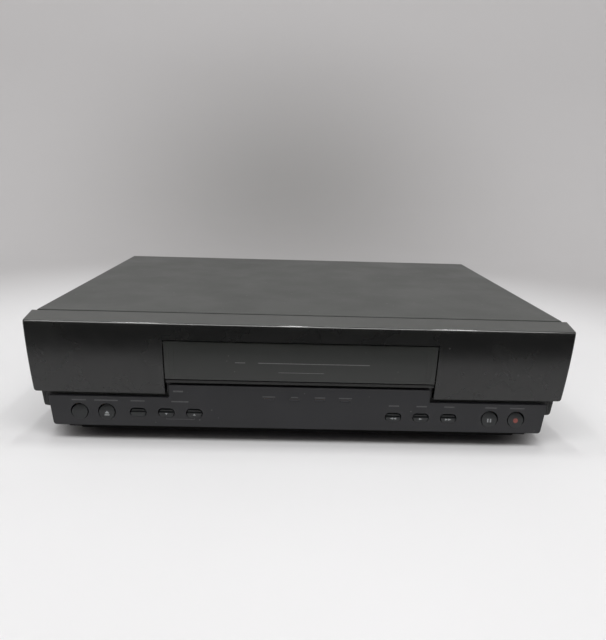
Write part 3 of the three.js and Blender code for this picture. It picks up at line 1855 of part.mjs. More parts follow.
function makeCamGear() {
  const low = camCentreHeight - camHeight / 2;
  const high = camCentreHeight + camHeight / 2;
  const tip = camPitchRadius + camToothDepth / 2;
  const wheel = prism("Z", gearOutline(camTeeth, tip, camToothDepth), low, high);
  const hub = pin("Z", [0, 0], camHubRadius, onDeck, high + pinRadius / 2, 10);
  const bore = pin("Z", [0, 0], runningRadius, onDeck - overrun, high + camHubRadius);
  const trackRadius = (camHubRadius + camPitchRadius - camToothDepth) / 2;
  const track = turned(
    [
      [trackRadius, high - pinRadius],
      [trackRadius + 2 * pinRadius, high - pinRadius],
      [trackRadius + 2 * pinRadius, high + overrun],
      [trackRadius, high + overrun],
      [trackRadius, high - pinRadius],
    ],
    12,
  );
  const offCentre = geometryOf(track).translate(-pinRadius / 2, 0, 0);
  return cut(join(wheel, hub), offCentre, bore);
}

const wormPitch = (2 * Math.PI * camPitchRadius) / camTeeth;
const wormX = camX - camPitchRadius - wormPitchRadius;
const wormStart = camY - wormLength / 2;
const toothPhaseShare = 0.5;

// The thread is a rise of the surface that turns round once in each pitch.
function makeWorm() {
  const root = wormPitchRadius - wormThreadDepth / 2 - seatGap / 2;
  const crestShare = 0.12;
  const flankShare = 0.27;
  const turns = Math.floor(wormLength / wormPitch) - 1;
  const steps = turns * wormStepsPerTurn;
  const start = (wormLength - turns * wormPitch) / 2;
  const rise = (along, angle) => {
    const phase = along / wormPitch - angle / (2 * Math.PI) + 2 * toothPhaseShare;
    const off = Math.abs(phase - Math.round(phase));
    const share = (flankShare - off) / (flankShare - crestShare);
    return wormThreadDepth * Math.min(Math.max(share, 0), 1);
  };
  const rings = [];
  const ring = (along, flat) => {
    const points = [];
    for (let i = 0; i < wormStepsRound; i += 1) {
      const angle = (2 * Math.PI * i) / wormStepsRound;
      const radius = root + (flat ? 0 : rise(along - wormLength / 2, angle));
      points.push([along, radius * Math.cos(angle), radius * Math.sin(angle)]);
    }
    return points;
  };
  rings.push(ring(0, true), ring(start, true));
  for (let k = 1; k < steps; k += 1) {
    rings.push(ring(start + (k * wormPitch) / wormStepsPerTurn, false));
  }
  rings.push(ring(wormLength - start, true), ring(wormLength, true));
  const body = loft(rings).rotateZ(Math.PI / 2);
  const bore = pin("Y", [0, 0], motorShaftRadius + seatGap, -overrun, wormLength + overrun);
  return cut(body, bore);
}

function makeLoadingMotor() {
  const back = wormStart - seatGap;
  const start = back - motorLength;
  const can = pin("Y", [wormX, camCentreHeight], motorRadius, start, back - motorNose, 16);
  const nose = pin("Y", [wormX, camCentreHeight], 2 * motorShaftRadius, start, back);
  const shaftEnd = wormStart + wormLength + motorShaftRadius;
  const shaft = pin("Y", [wormX, camCentreHeight], motorShaftRadius, start, shaftEnd);
  const foot = block(
    [wormX - motorFootHalfWidth, wormX + motorFootHalfWidth],
    [start + motorShaftRadius, back - motorNose - motorShaftRadius],
    [onDeck, camCentreHeight - motorRadius / 2],
  );
  return join(can, nose, shaft, foot);
}

// Case
piece("bottom_chassis", makeTub(), tubPlastic);
piece("top_cover", makeCover(), charcoalPaint);
piece("front_bezel", makeBezel(), visorPlastic);
piece("front_frame", makeFrontFrame(), visorPlastic);
piece("control_panel", makePanel(), panelPlastic);
piece("rear_panel", makeRearPanel(), plainSteel);
for (const [name, side, y] of [
  ["foot_front_left", -1, behind(footFrontSetback)],
  ["foot_front_right", 1, behind(footFrontSetback)],
  ["foot_rear_left", -1, rear - footRearInset],
  ["foot_rear_right", 1, rear - footRearInset],
]) {
  piece(name, makeFoot(), rubber, [side * (coverHalfWidth - footInset), y, 0]);
}

// Door and keys
piece("cassette_door", makeDoor(), doorPlastic);
for (const [name, x] of roundKeys) {
  piece(name, makeRoundKey(), keyPlastic, [x, 0, keyHeight]);
}
for (const [name, x] of capsuleKeys) {
  piece(name, makeCapsuleKey(), keyPlastic, [x, 0, keyHeight]);
}

// Boards, power and sockets
piece("front_board", makeFrontBoard(), brownBoard);
piece("main_board", makeMainBoard(), greenBoard);
piece("power_board", makePowerBoard(), brownBoard);
piece("power_transformer", makeTransformer(), copperWinding);
piece("heat_sink", makeHeatSink(), aluminium);
piece("filter_capacitor", makeCapacitor(), blackPlastic);
piece("power_inlet", makeInlet(), blackPlastic);
piece("tuner_box", makeTuner(), plainSteel);
piece("av_socket_block", makeAvBlock(), blackPlastic);

// Mechanism
piece("mechanism_deck", makeDeck(), plainSteel);
piece("carriage_side_left", makeCarriageSide(-1), plainSteel);
piece("carriage_side_right", makeCarriageSide(1), plainSteel);
piece("carriage_bridge", makeBridge(), plainSteel);
piece("carriage_slider", makeSlider(), blackPlastic);
piece("cassette_holder", makeHolder(), plainSteel);
piece("lower_drum", makeLowerDrum(), aluminium);
piece("upper_drum", makeUpperDrum(), brightSteel);
piece("erase_head", makeFixedHead([eraseX, eraseY], 1), aluminium);
piece("audio_control_head", makeFixedHead([controlX, controlY], -1), aluminium);
for (const [name, side] of [
  ["supply_guide", -1],
  ["takeup_guide", 1],
]) {
  const [x, y] = guideRest(side);
  piece(name + "_carrier", makeGuideCarrier(), aluminium, [x, y, 0]);
  piece(name + "_roller", makeGuideRoller(), brightSteel, [x, y, 0]);
}
piece("capstan_bearing", makeCapstanBearing(), aluminium, [capstanX, capstanY, 0]);
piece("capstan_flywheel", makeCapstan(), brightSteel, [capstanX, capstanY, 0]);
piece("pinch_arm", makePinchArm(), plainSteel);
piece("pinch_roller", makePinchRoller(), rubber, [...pinchRest, pinchRollerBottom]);
piece("supply_reel_table", makeReelTable(), whitePlastic, [-reelHalfPitch, reelY, onDeck]);
piece("takeup_reel_table", makeReelTable(), whitePlastic, [reelHalfPitch, reelY, onDeck]);
piece("idler_arm", makeIdlerArm(), blackPlastic);
piece("idler_wheel", makeIdlerWheel(), whitePlastic, [...idlerPlace, onDeck]);
piece("tension_arm", makeTensionArm(), plainSteel);
piece("cam_gear", makeCamGear(), whitePlastic, [camX, camY, 0]);
piece("worm", makeWorm(), whitePlastic, [wormX, wormStart, camCentreHeight]);
piece("loading_motor", makeLoadingMotor(), plainSteel);

export default recorder;
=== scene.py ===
"""The looks of a video cassette recorder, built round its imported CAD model.

Metres, in the CAD's frame: X to the right, Y to the back, Z up, the floor at Z = 0.
"""

from math import copysign, cos, inf, radians, sin, sqrt, tan

import bmesh
import bpy
from mathutils import Matrix, Vector


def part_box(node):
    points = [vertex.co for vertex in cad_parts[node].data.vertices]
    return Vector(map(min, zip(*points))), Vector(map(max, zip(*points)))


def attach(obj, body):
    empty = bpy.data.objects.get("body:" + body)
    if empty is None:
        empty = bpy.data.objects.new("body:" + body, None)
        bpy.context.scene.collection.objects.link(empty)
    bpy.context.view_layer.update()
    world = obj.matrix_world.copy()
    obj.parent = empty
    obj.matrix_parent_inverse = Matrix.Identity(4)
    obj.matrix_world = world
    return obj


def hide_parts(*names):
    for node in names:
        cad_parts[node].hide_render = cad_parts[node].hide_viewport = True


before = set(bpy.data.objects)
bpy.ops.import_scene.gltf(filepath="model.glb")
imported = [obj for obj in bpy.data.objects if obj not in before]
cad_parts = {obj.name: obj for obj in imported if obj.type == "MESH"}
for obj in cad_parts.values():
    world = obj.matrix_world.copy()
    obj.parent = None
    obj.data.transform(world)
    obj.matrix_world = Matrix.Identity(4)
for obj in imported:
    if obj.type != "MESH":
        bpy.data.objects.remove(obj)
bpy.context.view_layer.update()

MM = 0.001


def mm(*sizes):
    return tuple(size * MM for size in sizes)


overlap, tiny, weld, skin_weld = mm(1, 0.01, 0.001, 0.002)

# Where the CAD has its main pieces
bezel_low, bezel_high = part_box("front_bezel")
frame_low, frame_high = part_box("front_frame")
cover_low, cover_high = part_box("top_cover")
panel_low, panel_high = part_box("control_panel")
door_low, door_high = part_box("cassette_door")
rear_low, rear_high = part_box("rear_panel")
tub_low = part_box("bottom_chassis")[0]
front_y = bezel_low.y
seam_y = bezel_high.y

# Camera, from a fit to the edges in the photograph
photo_width = 606
photo_height = 640
focal_pixels = 602.4
centre_row = 325.0
camera_place = Vector(mm(-8.1, -543.6, 194.5))
camera_yaw = radians(1.256)
camera_pitch = radians(14.528)
camera_roll = radians(1.644)
camera_clip = 10 * MM
sensor_width_mm = 36

# Visor and top strip
edge_radius, face_top, edge_top = mm(1.6, 87.4, 90.4)
visor_bottom = bezel_low.z
visor_recede, visor_bow, visor_draft = mm(5.5, 1.2, 1.3)
visor_curve = 1.8
visor_corner, side_taper, foot_radius = mm(1, 1.4, 1.7)
visor_half = bezel_high.x - visor_corner
visor_rounding, plastic_rounding = mm(0.35, 0.3)
strip_top, strip_round = mm(93.4, 0.3)
strip_slope = 0.97
edge_slope = 0.3
centre_half, opening_half = mm(95.1, 95.9)
opening_top = door_high.z + 0.65 * MM
lintel_depth, wall_overlap = mm(7.2, 2)

# Apron under the visor, recess behind the panel, and the tub's lip
sill_top = frame_high.z
sill_height = 2.2 * MM
apron_face = front_y + 9 * MM
apron_half = frame_high.x
apron_bottom = cover_low.z + 1.8 * MM
tongue_half, apron_draft, apron_corner, apron_top_gap = mm(174, 1.4, 2.8, 0.3)
apron_rib_inset, apron_rib_pitch, apron_rib_gap = mm(2.2, 1.9, 0.5)
apron_rib_half, apron_rib_sink, apron_rib_rounding = mm(0.35, 0.2, 0.12)
recess_wall = 3 * MM
skirt_half, skirt_draft = mm(157.5, 0.4)
skirt_bottom = tub_low.z + 0.3 * MM
skirt_corner, skirt_gap, low_rounding = mm(1.8, 0.1, 0.4)

# Cassette door
door_half, door_recess, door_thickness = mm(95.25, 0.8, 2.2)
hinge_radius, hinge_setback = mm(1.6, 2.4)
hinge_z = door_high.z - hinge_radius
pin_radius, pin_gap = mm(1.1, 0.15)
door_line_xs = mm(88.5, 91.8)
door_line_half, door_line_proud, door_line_sink = mm(0.18, 0.09, 0.2)
door_line_end_gaps = mm(2, 3)
door_rib_pitch, door_rib_half, door_rib_rounding = mm(36, 0.7, 0.15)
door_rib_start, door_rib_end = mm(1, 0.3)
door_rib_end_gaps = mm(1.6, 6.4)

# Control panel
panel_top_depth, panel_bottom_depth = mm(4.8, 5.9)
panel_wing_top = 34.6 * MM
panel_bottom = panel_low.z - 0.4 * MM
panel_bottom_half, panel_top_half, panel_raised_half = mm(176, 178, 93)
panel_corner, panel_top_corner, raised_corner = mm(2.6, 0.8, 1)
panel_thickness, panel_rounding = mm(3, 0.24)
indicator_xs = [(-22.1 + 18.2 * k) * MM for k in range(4)]
indicator_z = 34.7 * MM
window_half_sizes = mm(3.4, 0.8)
lens_half_sizes = mm(3.3, 0.72)
lens_thickness, lens_rounding, lens_sink = mm(1.6, 0.1, 0.1)

# Keys
key_z, key_depth = mm(22.9, 8.6)
key_gap, well_gap, key_proud = mm(0.35, 0.6, 0.5)
proud_ramp = 1.4
round_key_radius, key_dish, key_hollow = mm(5.85, 2.3, 0.2)
cap_radius, cap_drop, cap_rim = mm(5.55, 0.6, 0.14)
cap_bend = 0.1 * cap_radius
cap_shares = (1, 0.9, 0.8, 0.7, 0.6, 0.5, 0.4, 0.25, 0.1, 0.01)
capsule_half_width, capsule_half_height = mm(5.6, 2.95)
capsule_drop, capsule_blunt = mm(0.45, 0.02)

# Keys in millimetres: place, width of the printed dash, and printed shapes by kind, size and place
round_keys = {
    "power_button": (-156.8, 10, []),
    "stop_eject_button": (-137.6, 16.6, [("up", 3.5, 1.9, 0, -0.6), ("bar", 3.5, 0.7, 0, -2.6)]),
    "pause_button": (137.6, 8.4, [("bar", 0.95, 2.7, side, -1.2) for side in (-1, 1)]),
    "record_button": (156.8, 10.4, [("disc", 3.5, 3.5, 0, -0.9)]),
}
capsule_keys = {
    "television_video_button": (-115.3, 10, []),
    "channel_down_button": (-95.3, 0, [("down", 2, 1.5, 0, -0.95)]),
    "channel_up_button": (-75.3, 0, [("up", 2, 1.5, 0, -0.95)]),
    "rewind_button": (67.6, 7.4, [("left", 2.3, 1.6, side, -0.95) for side in (-1.15, 1.15)]),
    "play_button": (87.6, 7.4, [("right", 2.3, 1.5, 0, -0.95)]),
    "fast_forward_button": (107.6, 7.4, [("right", 2.3, 1.6, side, -0.95) for side in (-1.15, 1.15)]),
}
keys = {**round_keys, **capsule_keys}
key_xs = {node: key[0] * MM for node, key in keys.items()}
key_bodies = {node: node.replace("_button", "_key") for node in keys}

# A capsule key's section: height from its middle, distance behind the panel's face
capsule_section = [
    mm(-2.8, -0.1), mm(-2.6, -0.28), mm(-2.1, -0.3), mm(0.3, -0.1), mm(0.4, 0.1), mm(0.5, 0.9), mm(0.7, 1.6),
    mm(1.1, 1.6), mm(1.45, 0.8), mm(1.7, 0.65), mm(2.0, 0.8), mm(2.4, 1.3), mm(2.8, 2.0),
]

# Printed lines that stand in the places of the words
ink_proud = 0.05 * MM
label_z, label_thick = mm(31.7, 0.95)
channel_dash_width = 12 * MM
bracket_drop, bracket_thickness = mm(4.9, 0.3)
tick_size = mm(0.25, 1)
corner_label = mm(-86.4, 39.6, 7, 1.2)
dash_widths_mm = (9, 5, 7.2, 9.4)
dash_rise, dash_thickness = mm(2.1, 0.8)
pinstripes_mm = ((9.2, 62.6, 78, 0.5), (0.4, 55.6, 32, 0.35), (-42.4, 62.6, 7, 0.5))
diamond_half_sizes = mm(0.9, 1.1)
diamond_x, diamond_z = mm(130, 58.6)
diamond_pitch, diamond_fall = mm(7.9, 0.4)

# Cover
sheet_thickness, sheet_bend, sheet_roll = mm(1, 1.6, 0.4)
cover_rounding = 0.15 * MM
slot_half_sizes = mm(13, 1.5)
slot_inset, slot_pitch, slot_level = mm(30, 7, 53)
slot_cutter = 400 * MM

# Sockets, screws and the nodes that stay
jack_columns, jack_rows = mm(76, 94), mm(29, 47)
jack_radii = {
    "collar": mm(5.6, 3.4),
    "barrel": mm(4.2, 3.2),
    "insulator": mm(3.2, 1.6),
    "contact": mm(1.6, 1.25),
}
jack_body_gap, jack_body_rounding, collar_thickness = mm(0.3, 0.5, 1.2)
insulator_sink, contact_sink = mm(0.7, 0.9)
rim_share = 0.2
aerial_x, aerial_rows = 143 * MM, mm(31, 49)
nut_radii = mm(7.2, 4.75)
nut_thickness = 1.6 * MM
thread_radii = mm(4.95, 4.6)
thread_start, thread_pitch, thread_width, thread_room = mm(2, 0.8, 0.42, 2.4)
screw_profile = [mm(0.01, 0), mm(3, 0), mm(3, 0.7), mm(2.4, 1.3), mm(1.2, 1.6), mm(0.01, 1.65)]
cross_reach, cross_half = mm(1.7, 0.35)
cross_floor, cross_top = mm(0.7, 2)
rear_screws_mm = (
    (-168, 84), (0, 84), (168, 84), (-124, 27), (-172, 27),
    (85, 38), (60, 20), (124, 40), (-30, 24), (30, 24),
)
side_screw_ys = mm(-62, 88)
side_screw_z = 33 * MM
node_rounding = 0.2 * MM

# Depth of relief on the surfaces
paint_depth, wave_depth, grain_depth, brushed_depth, rubber_depth = mm(0.05, 0.3, 0.04, 0.03, 0.06)

# Studio
# The floor greys from pale_radius out to grey_radius into the wall's colour: painted shade, where the light
# falls off away from the object
pale_radius, grey_radius, wall_radius, sweep_radius = 0.35, 0.8, 1.25, 0.45
wall_height = 2.2
floor_colours = ((0.835, 0.833, 0.837), (0.855, 0.853, 0.857))
wall_colour = (0.62, 0.61, 0.61)
# A painted shadow of the recorder: a soft dark patch on the wall behind it
painted_shadow_colour = (0.36, 0.355, 0.35)
painted_shadow_centre = (-0.02, 1.15, 0.12)
painted_shadow_radii = (0.75, 0.85, 0.55)
painted_shadow_share = 0.85
# Painted shade: the floor turns dark where the object covers it closely
shade_colour = (0.1, 0.095, 0.095)
shade_reach = 0.05
shade_range = (0.12, 0.42)
flag_near, flag_far, flag_half, flag_height = -0.27, -1.1, 0.9, 0.6
flag_lift = 2 * MM
world_colour = (0.95, 0.97, 1.0, 1)
world_strength = 0.06

# Lamps: name, place, target, size and watts. The narrow ones glint on the visor's top edge.
lamps = (
    ("wide_front", (0, -0.7, 1.3), (0, 0, 0.05), (1.6, 0.5), 11.8),
    ("narrow_left", (-0.42, -0.09, 1.25), (-0.42, -0.1, 0), (0.12, 0.2), 1.5),
    ("narrow_middle", (0, -0.09, 1.25), (0, -0.1, 0), (0.04, 0.2), 1.5),
    ("narrow_right", (0.44, -0.09, 1.25), (0.44, -0.1, 0), (0.09, 0.2), 1.8),
    ("wall", (-0.12, 0.25, 1.5), (-0.1, 1.2, 0.9), (1.6, 0.6), 4.6),
)


# Mesh helpers


def link(name, data):
    obj = bpy.data.objects.new(name, data)
    bpy.context.scene.collection.objects.link(obj)
    return obj


def mesh_piece(name, points, faces):
    mesh = bpy.data.meshes.new(name)
    mesh.from_pydata([tuple(p) for p in points], [], faces)
    mesh.update()
    return link(name, mesh)


def evaluated(obj):
    """A new mesh: what an object's modifiers, or its curve's settings, make of it."""
    bpy.context.view_layer.update()
    graph = bpy.context.evaluated_depsgraph_get()
    return bpy.data.meshes.new_from_object(obj.evaluated_get(graph))


def applied(obj):
    """Replaces an object's mesh by what its modifiers make of it."""
    old, obj.data = obj.data, evaluated(obj)
    obj.modifiers.clear()
    bpy.data.meshes.remove(old)
    return obj


def smooth(obj, degrees=32):
    obj.data.polygons.foreach_set("use_smooth", [True] * len(obj.data.polygons))
    obj.data.set_sharp_from_angle(angle=radians(degrees))
    return obj


def add_rounding(obj, width, segments, degrees):
    bevel = obj.modifiers.new("rounding", "BEVEL")
    bevel.width = width
    bevel.segments = segments
    bevel.limit_method = "ANGLE"
    bevel.angle_limit = radians(degrees)


def soften(obj, width, segments=2, degrees=35):
    """Rounds the sharp edges of a mesh and shades it smooth between them."""
    add_rounding(obj, width, segments, degrees)
    return smooth(applied(obj))


def moved(obj, x, y, z, turn=Matrix.Identity(4)):
    """Moves a piece's mesh, after a turn if there is one."""
    obj.data.transform(Matrix.Translation((x, y, z)) @ turn)
    return obj


def painted(obj, material):
    obj.data.materials.clear()
    obj.data.materials.append(material)
    return obj


def block(name, low, high, rounding=0.0):
    (x0, y0, z0), (x1, y1, z1) = low, high
    points = [(x, y, z) for x in (x0, x1) for y in (y0, y1) for z in (z0, z1)]
    faces = [(0, 1, 3, 2), (4, 6, 7, 5), (0, 4, 5, 1), (2, 3, 7, 6), (0, 2, 6, 4), (1, 5, 7, 3)]
    obj = mesh_piece(name, points, faces)
    return soften(obj, rounding) if rounding else obj


def recalculated(obj):
    """Welds points that meet and turns all faces outward."""
    edit = bmesh.new()
    edit.from_mesh(obj.data)
    bmesh.ops.remove_doubles(edit, verts=edit.verts, dist=weld)
    bmesh.ops.recalc_face_normals(edit, faces=edit.faces)
    edit.to_mesh(obj.data)
    edit.free()
    return obj


def ring_mesh(name, rings, closed_ends=True):
    """A skin through rings of equally many points."""
    count = len(rings[0])
    faces = []
    for k in range(len(rings) - 1):
        for i in range(count):
            j = (i + 1) % count
            faces.append((k * count + i, k * count + j, (k + 1) * count + j, (k + 1) * count + i))
    if closed_ends:
        faces.append(tuple(reversed(range(count))))
        faces.append(tuple((len(rings) - 1) * count + i for i in range(count)))
    obj = mesh_piece(name, [p for ring in rings for p in ring], faces)
    return recalculated(obj)


def grid_faces(rows, columns):
    """The faces of a grid of points that are given row by row."""
    corners = [r * columns + c for r in range(rows - 1) for c in range(columns - 1)]
    return [(a, a + 1, a + columns + 1, a + columns) for a in corners]


def walled(obj, in_rim, wall_end):
    """Grows a wall back from the rim edges whose points pass a test, each point to its own depth."""
    edit = bmesh.new()
    edit.from_mesh(obj.data)
    bmesh.ops.remove_doubles(edit, verts=edit.verts, dist=skin_weld)
    bmesh.ops.dissolve_degenerate(edit, edges=edit.edges, dist=skin_weld)
    rim = [e for e in edit.edges if e.is_boundary and all(in_rim(v.co) for v in e.verts)]
    grown = bmesh.ops.extrude_edge_only(edit, edges=rim)
    for v in [g for g in grown["geom"] if isinstance(g, bmesh.types.BMVert)]:
        v.co.y = wall_end(v.co)
    bmesh.ops.recalc_face_normals(edit, faces=edit.faces)
    edit.to_mesh(obj.data)
    edit.free()
    return obj


def spaced(start, end, steps):
    """Even values from a start, without the end."""
    return [start + (end - start) * k / steps for k in range(steps)]


def turns(start, end, steps):
    """Even angles from a start in degrees, without the end, in radians."""
    return [radians(degrees) for degrees in spaced(start, end, steps)]


def around(centre, radius, angles):
    return [(centre[0] + radius * cos(a), centre[1] + radius * sin(a)) for a in angles]


def circle(radius, sides, centre=(0, 0)):
    return around(centre, radius, turns(0, 360, sides))


def arc(centre, radius, start, end, steps):
    return around(centre, radius, [*turns(start, end, steps), radians(end)])


def rotation(degrees, axis):
    return Matrix.Rotation(radians(degrees), 4, axis)


def turned(name, profile, place, turn, sides):
    """A turned piece: a profile of (radius, distance along the axis) from the place."""
    rings = [[(u, v, along) for u, v in circle(radius, sides)] for radius, along in profile]
    return smooth(moved(ring_mesh(name, rings), *place, turn), 30)


def joined(name, pieces):
    """One object from several, in the order given."""
    edit = bmesh.new()
    materials = []
    for piece in pieces:
        start = len(edit.faces)
        edit.from_mesh(piece.data)
        edit.faces.ensure_lookup_table()
        own = list(piece.data.materials)
        for face in edit.faces[start:]:
            material = own[face.material_index] if own else None
            if material not in materials:
                materials.append(material)
            face.material_index = materials.index(material)
    mesh = bpy.data.meshes.new(name)
    edit.to_mesh(mesh)
    edit.free()
    for material in materials:
        if material:
            mesh.materials.append(material)
    for piece in pieces:
        bpy.data.objects.remove(piece)
    return link(name, mesh)


def carved(obj, cutters):
    """Cuts the cutters out of an object and removes them."""
    for cutter in cutters:
        cut = obj.modifiers.new("cut", "BOOLEAN")
        cut.operation = "DIFFERENCE"
        cut.solver = "EXACT"
        cut.object = cutter
        applied(obj)
        bpy.data.objects.remove(cutter)
    return obj


def plate(name, outline, holes, depth, rounding):
    """A flat plate with rounded rims from an outline and holes of (x, z), its face at Y = 0."""
    curve = bpy.data.curves.new(name, "CURVE")
    curve.dimensions = "2D"
    curve.fill_mode = "BOTH"
    curve.extrude = depth / 2 - rounding
    curve.bevel_depth = rounding
    curve.bevel_resolution = 2
    curve.offset = -rounding
    for points in (outline, *holes):
        spline = curve.splines.new("POLY")
        spline.points.add(len(points) - 1)
        for at, (x, z) in zip(spline.points, points):
            at.co = (x, z, 0, 1)
        spline.use_cyclic_u = True
    obj = link(name, curve)
    mesh = evaluated(obj)
    bpy.data.objects.remove(obj)
    bpy.data.curves.remove(curve)
    flat = moved(link(name, mesh), 0, depth / 2, 0, rotation(90, "X"))
    return smooth(recalculated(flat))


def capsule_outline(x, z, half_width, half_height, steps=14):
    reach = half_width - half_height
    right = arc((x + reach, z), half_height, -90, 90, steps)
    left = arc((x - reach, z), half_height, 90, 270, steps)
    return right + left


def rounded(points, steps=6):
    """An outline whose corners (x, z, radius) are rounded."""
    result = []
    count = len(points)
    for i, (x, z, radius) in enumerate(points):
        here = Vector((x, z))
        if radius <= 0:
            result.append((x, z))
            continue
        before = (Vector(points[i - 1][:2]) - here).normalized()
        after = (Vector(points[(i + 1) % count][:2]) - here).normalized()
        half = before.angle(after) / 2
        reach = radius / tan(half)
        start, end = here + before * reach, here + after * reach
        for k in range(steps + 1):
            t = k / steps
            at = start * (1 - t) ** 2 + here * (2 * t * (1 - t)) + end * t**2
            result.append((at.x, at.y))
    return result


def both_sides(*right_half):
    """A whole outline from its right half, given from the bottom up."""
    return [*right_half, *((-p[0], *p[1:]) for p in reversed(right_half))]


def dress(obj, body, material=None, nodes=()):
    """Gives a piece its material and its body, and hides the CAD nodes that it stands for.

    Weighted normals shade a large face flat where it meets the small faces of its rounded rim.
    """
    if material is not None:
        painted(obj, material)
    normals = obj.modifiers.new("flat_shading", "WEIGHTED_NORMAL")
    normals.keep_sharp = True
    normals.weight = 80
    if nodes:
        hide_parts(*nodes)
    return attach(obj, body)


# Materials


class Surface:
    """A material with its Principled shader and short ways to add procedural detail."""

    def __init__(self, name, colour, roughness, metallic=0.0, gloss=0.5):
        self.material = bpy.data.materials.new(name)
        self.material.use_nodes = True
        self.tree = self.material.node_tree
        self.shader = self.tree.nodes["Principled BSDF"]
        self.look("Base Color", colour)
        self.look("Roughness", roughness)
        self.look("Metallic", metallic)
        self.look("Specular IOR Level", gloss)
        self.colour = self.mixed_colour = colour
        self.roughness = roughness
        self.relief = None
        self.place = self.add("TexCoord", {}).outputs["Object"]

    def put(self, value, socket):
        """Links a socket to a node's output, or sets it to a colour or a value."""
        if isinstance(value, bpy.types.NodeSocket):
            self.tree.links.new(value, socket)
        else:
            socket.default_value = (*value, 1) if socket.type == "RGBA" else value

    def look(self, name, value):
        self.put(value, self.shader.inputs[name])

    def add(self, kind, inputs, **settings):
        node = self.tree.nodes.new("ShaderNode" + kind)
        for name, value in settings.items():
            setattr(node, name, value)
        for name, value in inputs.items():
            self.put(value, node.inputs[name])
        return node

    def noise(self, scale, detail, stretch=(1, 1, 1)):
        """Noise of a size per metre, finer along an axis with a stretch above one."""
        place = self.add("Mapping", {"Scale": stretch, "Vector": self.place}).outputs["Vector"]
        return self.add("TexNoise", {"Scale": scale, "Detail": detail, "Vector": place}).outputs["Fac"]

    def ellipse(self, centre, radii):
        """Distance from a centre, one at the rim of an ellipsoid."""
        offset = tuple(-c / r for c, r in zip(centre, radii))
        inputs = {"Location": offset, "Scale": tuple(1 / r for r in radii), "Vector": self.place}
        place = self.add("Mapping", inputs).outputs["Vector"]
        return self.add("VectorMath", {0: place}, operation="LENGTH").outputs["Value"]

    def openness(self, distance):
        """How open the room is round a point within a distance: zero where all is covered."""
        return self.add("AmbientOcclusion", {"Distance": distance}, samples=12).outputs["AO"]

    def cells(self, scale, feature="F1", randomness=1.0):
        inputs = {"Scale": scale, "Randomness": randomness, "Vector": self.place}
        return self.add("TexVoronoi", inputs, feature=feature).outputs["Distance"]

    def spread(self, value, low, high, start=0.35, end=0.65, kind="LINEAR"):
        """Maps the range from start to end to the range from low to high."""
        inputs = {"Value": value, "From Min": start, "From Max": end, "To Min": low, "To Max": high}
        return self.add("MapRange", inputs, interpolation_type=kind).outputs["Result"]

    def mix(self, share, first, second):
        inputs = {"Factor": share, "A": first, "B": second}
        return self.add("Mix", inputs, data_type="RGBA").outputs["Result"]

    def colour_by(self, mixed):
        """Makes a mixed colour the surface's colour."""
        self.mixed_colour = mixed
        self.look("Base Color", mixed)

    def bump(self, height, strength, distance):
        """Adds relief on top of the relief so far."""
        inputs = {"Strength": strength, "Distance": distance, "Height": height}
        if self.relief is not None:
            inputs["Normal"] = self.relief
        self.relief = self.add("Bump", inputs).outputs["Normal"]
        self.look("Normal", self.relief)

    def vary(self, amount, scale, roughness_amount):
        """Gentle cloudy changes of colour and roughness."""
        darker = tuple(c * (1 - amount) for c in self.colour)
        lighter = tuple(min(c * (1 + amount), 1) for c in self.colour)
        self.colour_by(self.mix(self.spread(self.noise(scale, 3.0), 0, 1), darker, lighter))
        low, high = max(self.roughness - roughness_amount, 0.02), self.roughness + roughness_amount
        self.look("Roughness", self.spread(self.noise(scale * 2.7, 4.0), low, high))

    def dust(self, colour, per_metre, size, share):
        """Sparse pale specks: small spots at some of the cells of a grid."""
        spots = self.spread(self.cells(per_metre), 1, 0, size * 0.6, size)
        patches = self.spread(self.noise(per_metre * 0.35, 1.0), 0, share, 0.5, 0.62)
        specks = self.add("Math", {0: spots, 1: patches}, operation="MULTIPLY").outputs[0]
        self.colour_by(self.mix(specks, self.mixed_colour, colour))


def cover_paint():
    """Charcoal paint on steel: fine orange peel and a little dust."""
    paint = Surface("cover_paint", (0.056, 0.059, 0.055), 0.46)
    paint.vary(0.06, 9, 0.04)
    paint.dust((0.3, 0.3, 0.29), 130, 0.09, 0.75)
    paint.bump(paint.noise(900, 2.0), 0.1, paint_depth)
    paint.bump(paint.noise(14, 2.0), 0.05, wave_depth)
    return paint.material


def moulded(name, colour, roughness, grain=0.1, dusty=True, gloss=0.5):
    """Moulded plastic with a spark-eroded grain."""
    plastic = Surface(name, colour, roughness, gloss=gloss)
    plastic.vary(0.06, 16, 0.09 * roughness)
    if dusty:
        plastic.dust((0.16, 0.16, 0.155), 150, 0.08, 0.5)
    plastic.bump(plastic.noise(2600, 3.0), grain, grain_depth)
    return plastic.material


def marked(name, colour, roughness=0.5):
    """Printed marking ink, a little uneven."""
    ink = Surface(name, colour, roughness)
    ink.vary(0.12, 700, 0.05)
    return ink.material


def metal(name, colour, roughness, scale, relief, stretch=(1, 1, 1)):
    """Bare or plated metal with fine lines across the stretched axis."""
    bare = Surface(name, colour, roughness, 1.0)
    bare.vary(0.05, 30, 0.05)
    bare.bump(bare.noise(scale, 4.0, stretch), relief, brushed_depth)
    return bare.material


def rubber_compound():
    rubber = Surface("rubber_compound", (0.018, 0.018, 0.018), 0.75)
    rubber.vary(0.15, 60, 0.08)
    rubber.bump(rubber.noise(1800, 3.0), 0.2, rubber_depth)
    return rubber.material


def laminate(name, colour):
    """A circuit board: resist with paler tracks under it."""
    board = Surface(name, colour, 0.42)
    board.vary(0.1, 40, 0.06)
    tracks = board.spread(board.cells(160, "DISTANCE_TO_EDGE", 0.3), 0, 1, 0.04, 0.06)
    lighter = tuple(min(c * 1.6 + 0.01, 1) for c in colour)
    board.colour_by(board.mix(tracks, lighter, board.mixed_colour))
    board.bump(tracks, 0.3, paint_depth)
    return board.material


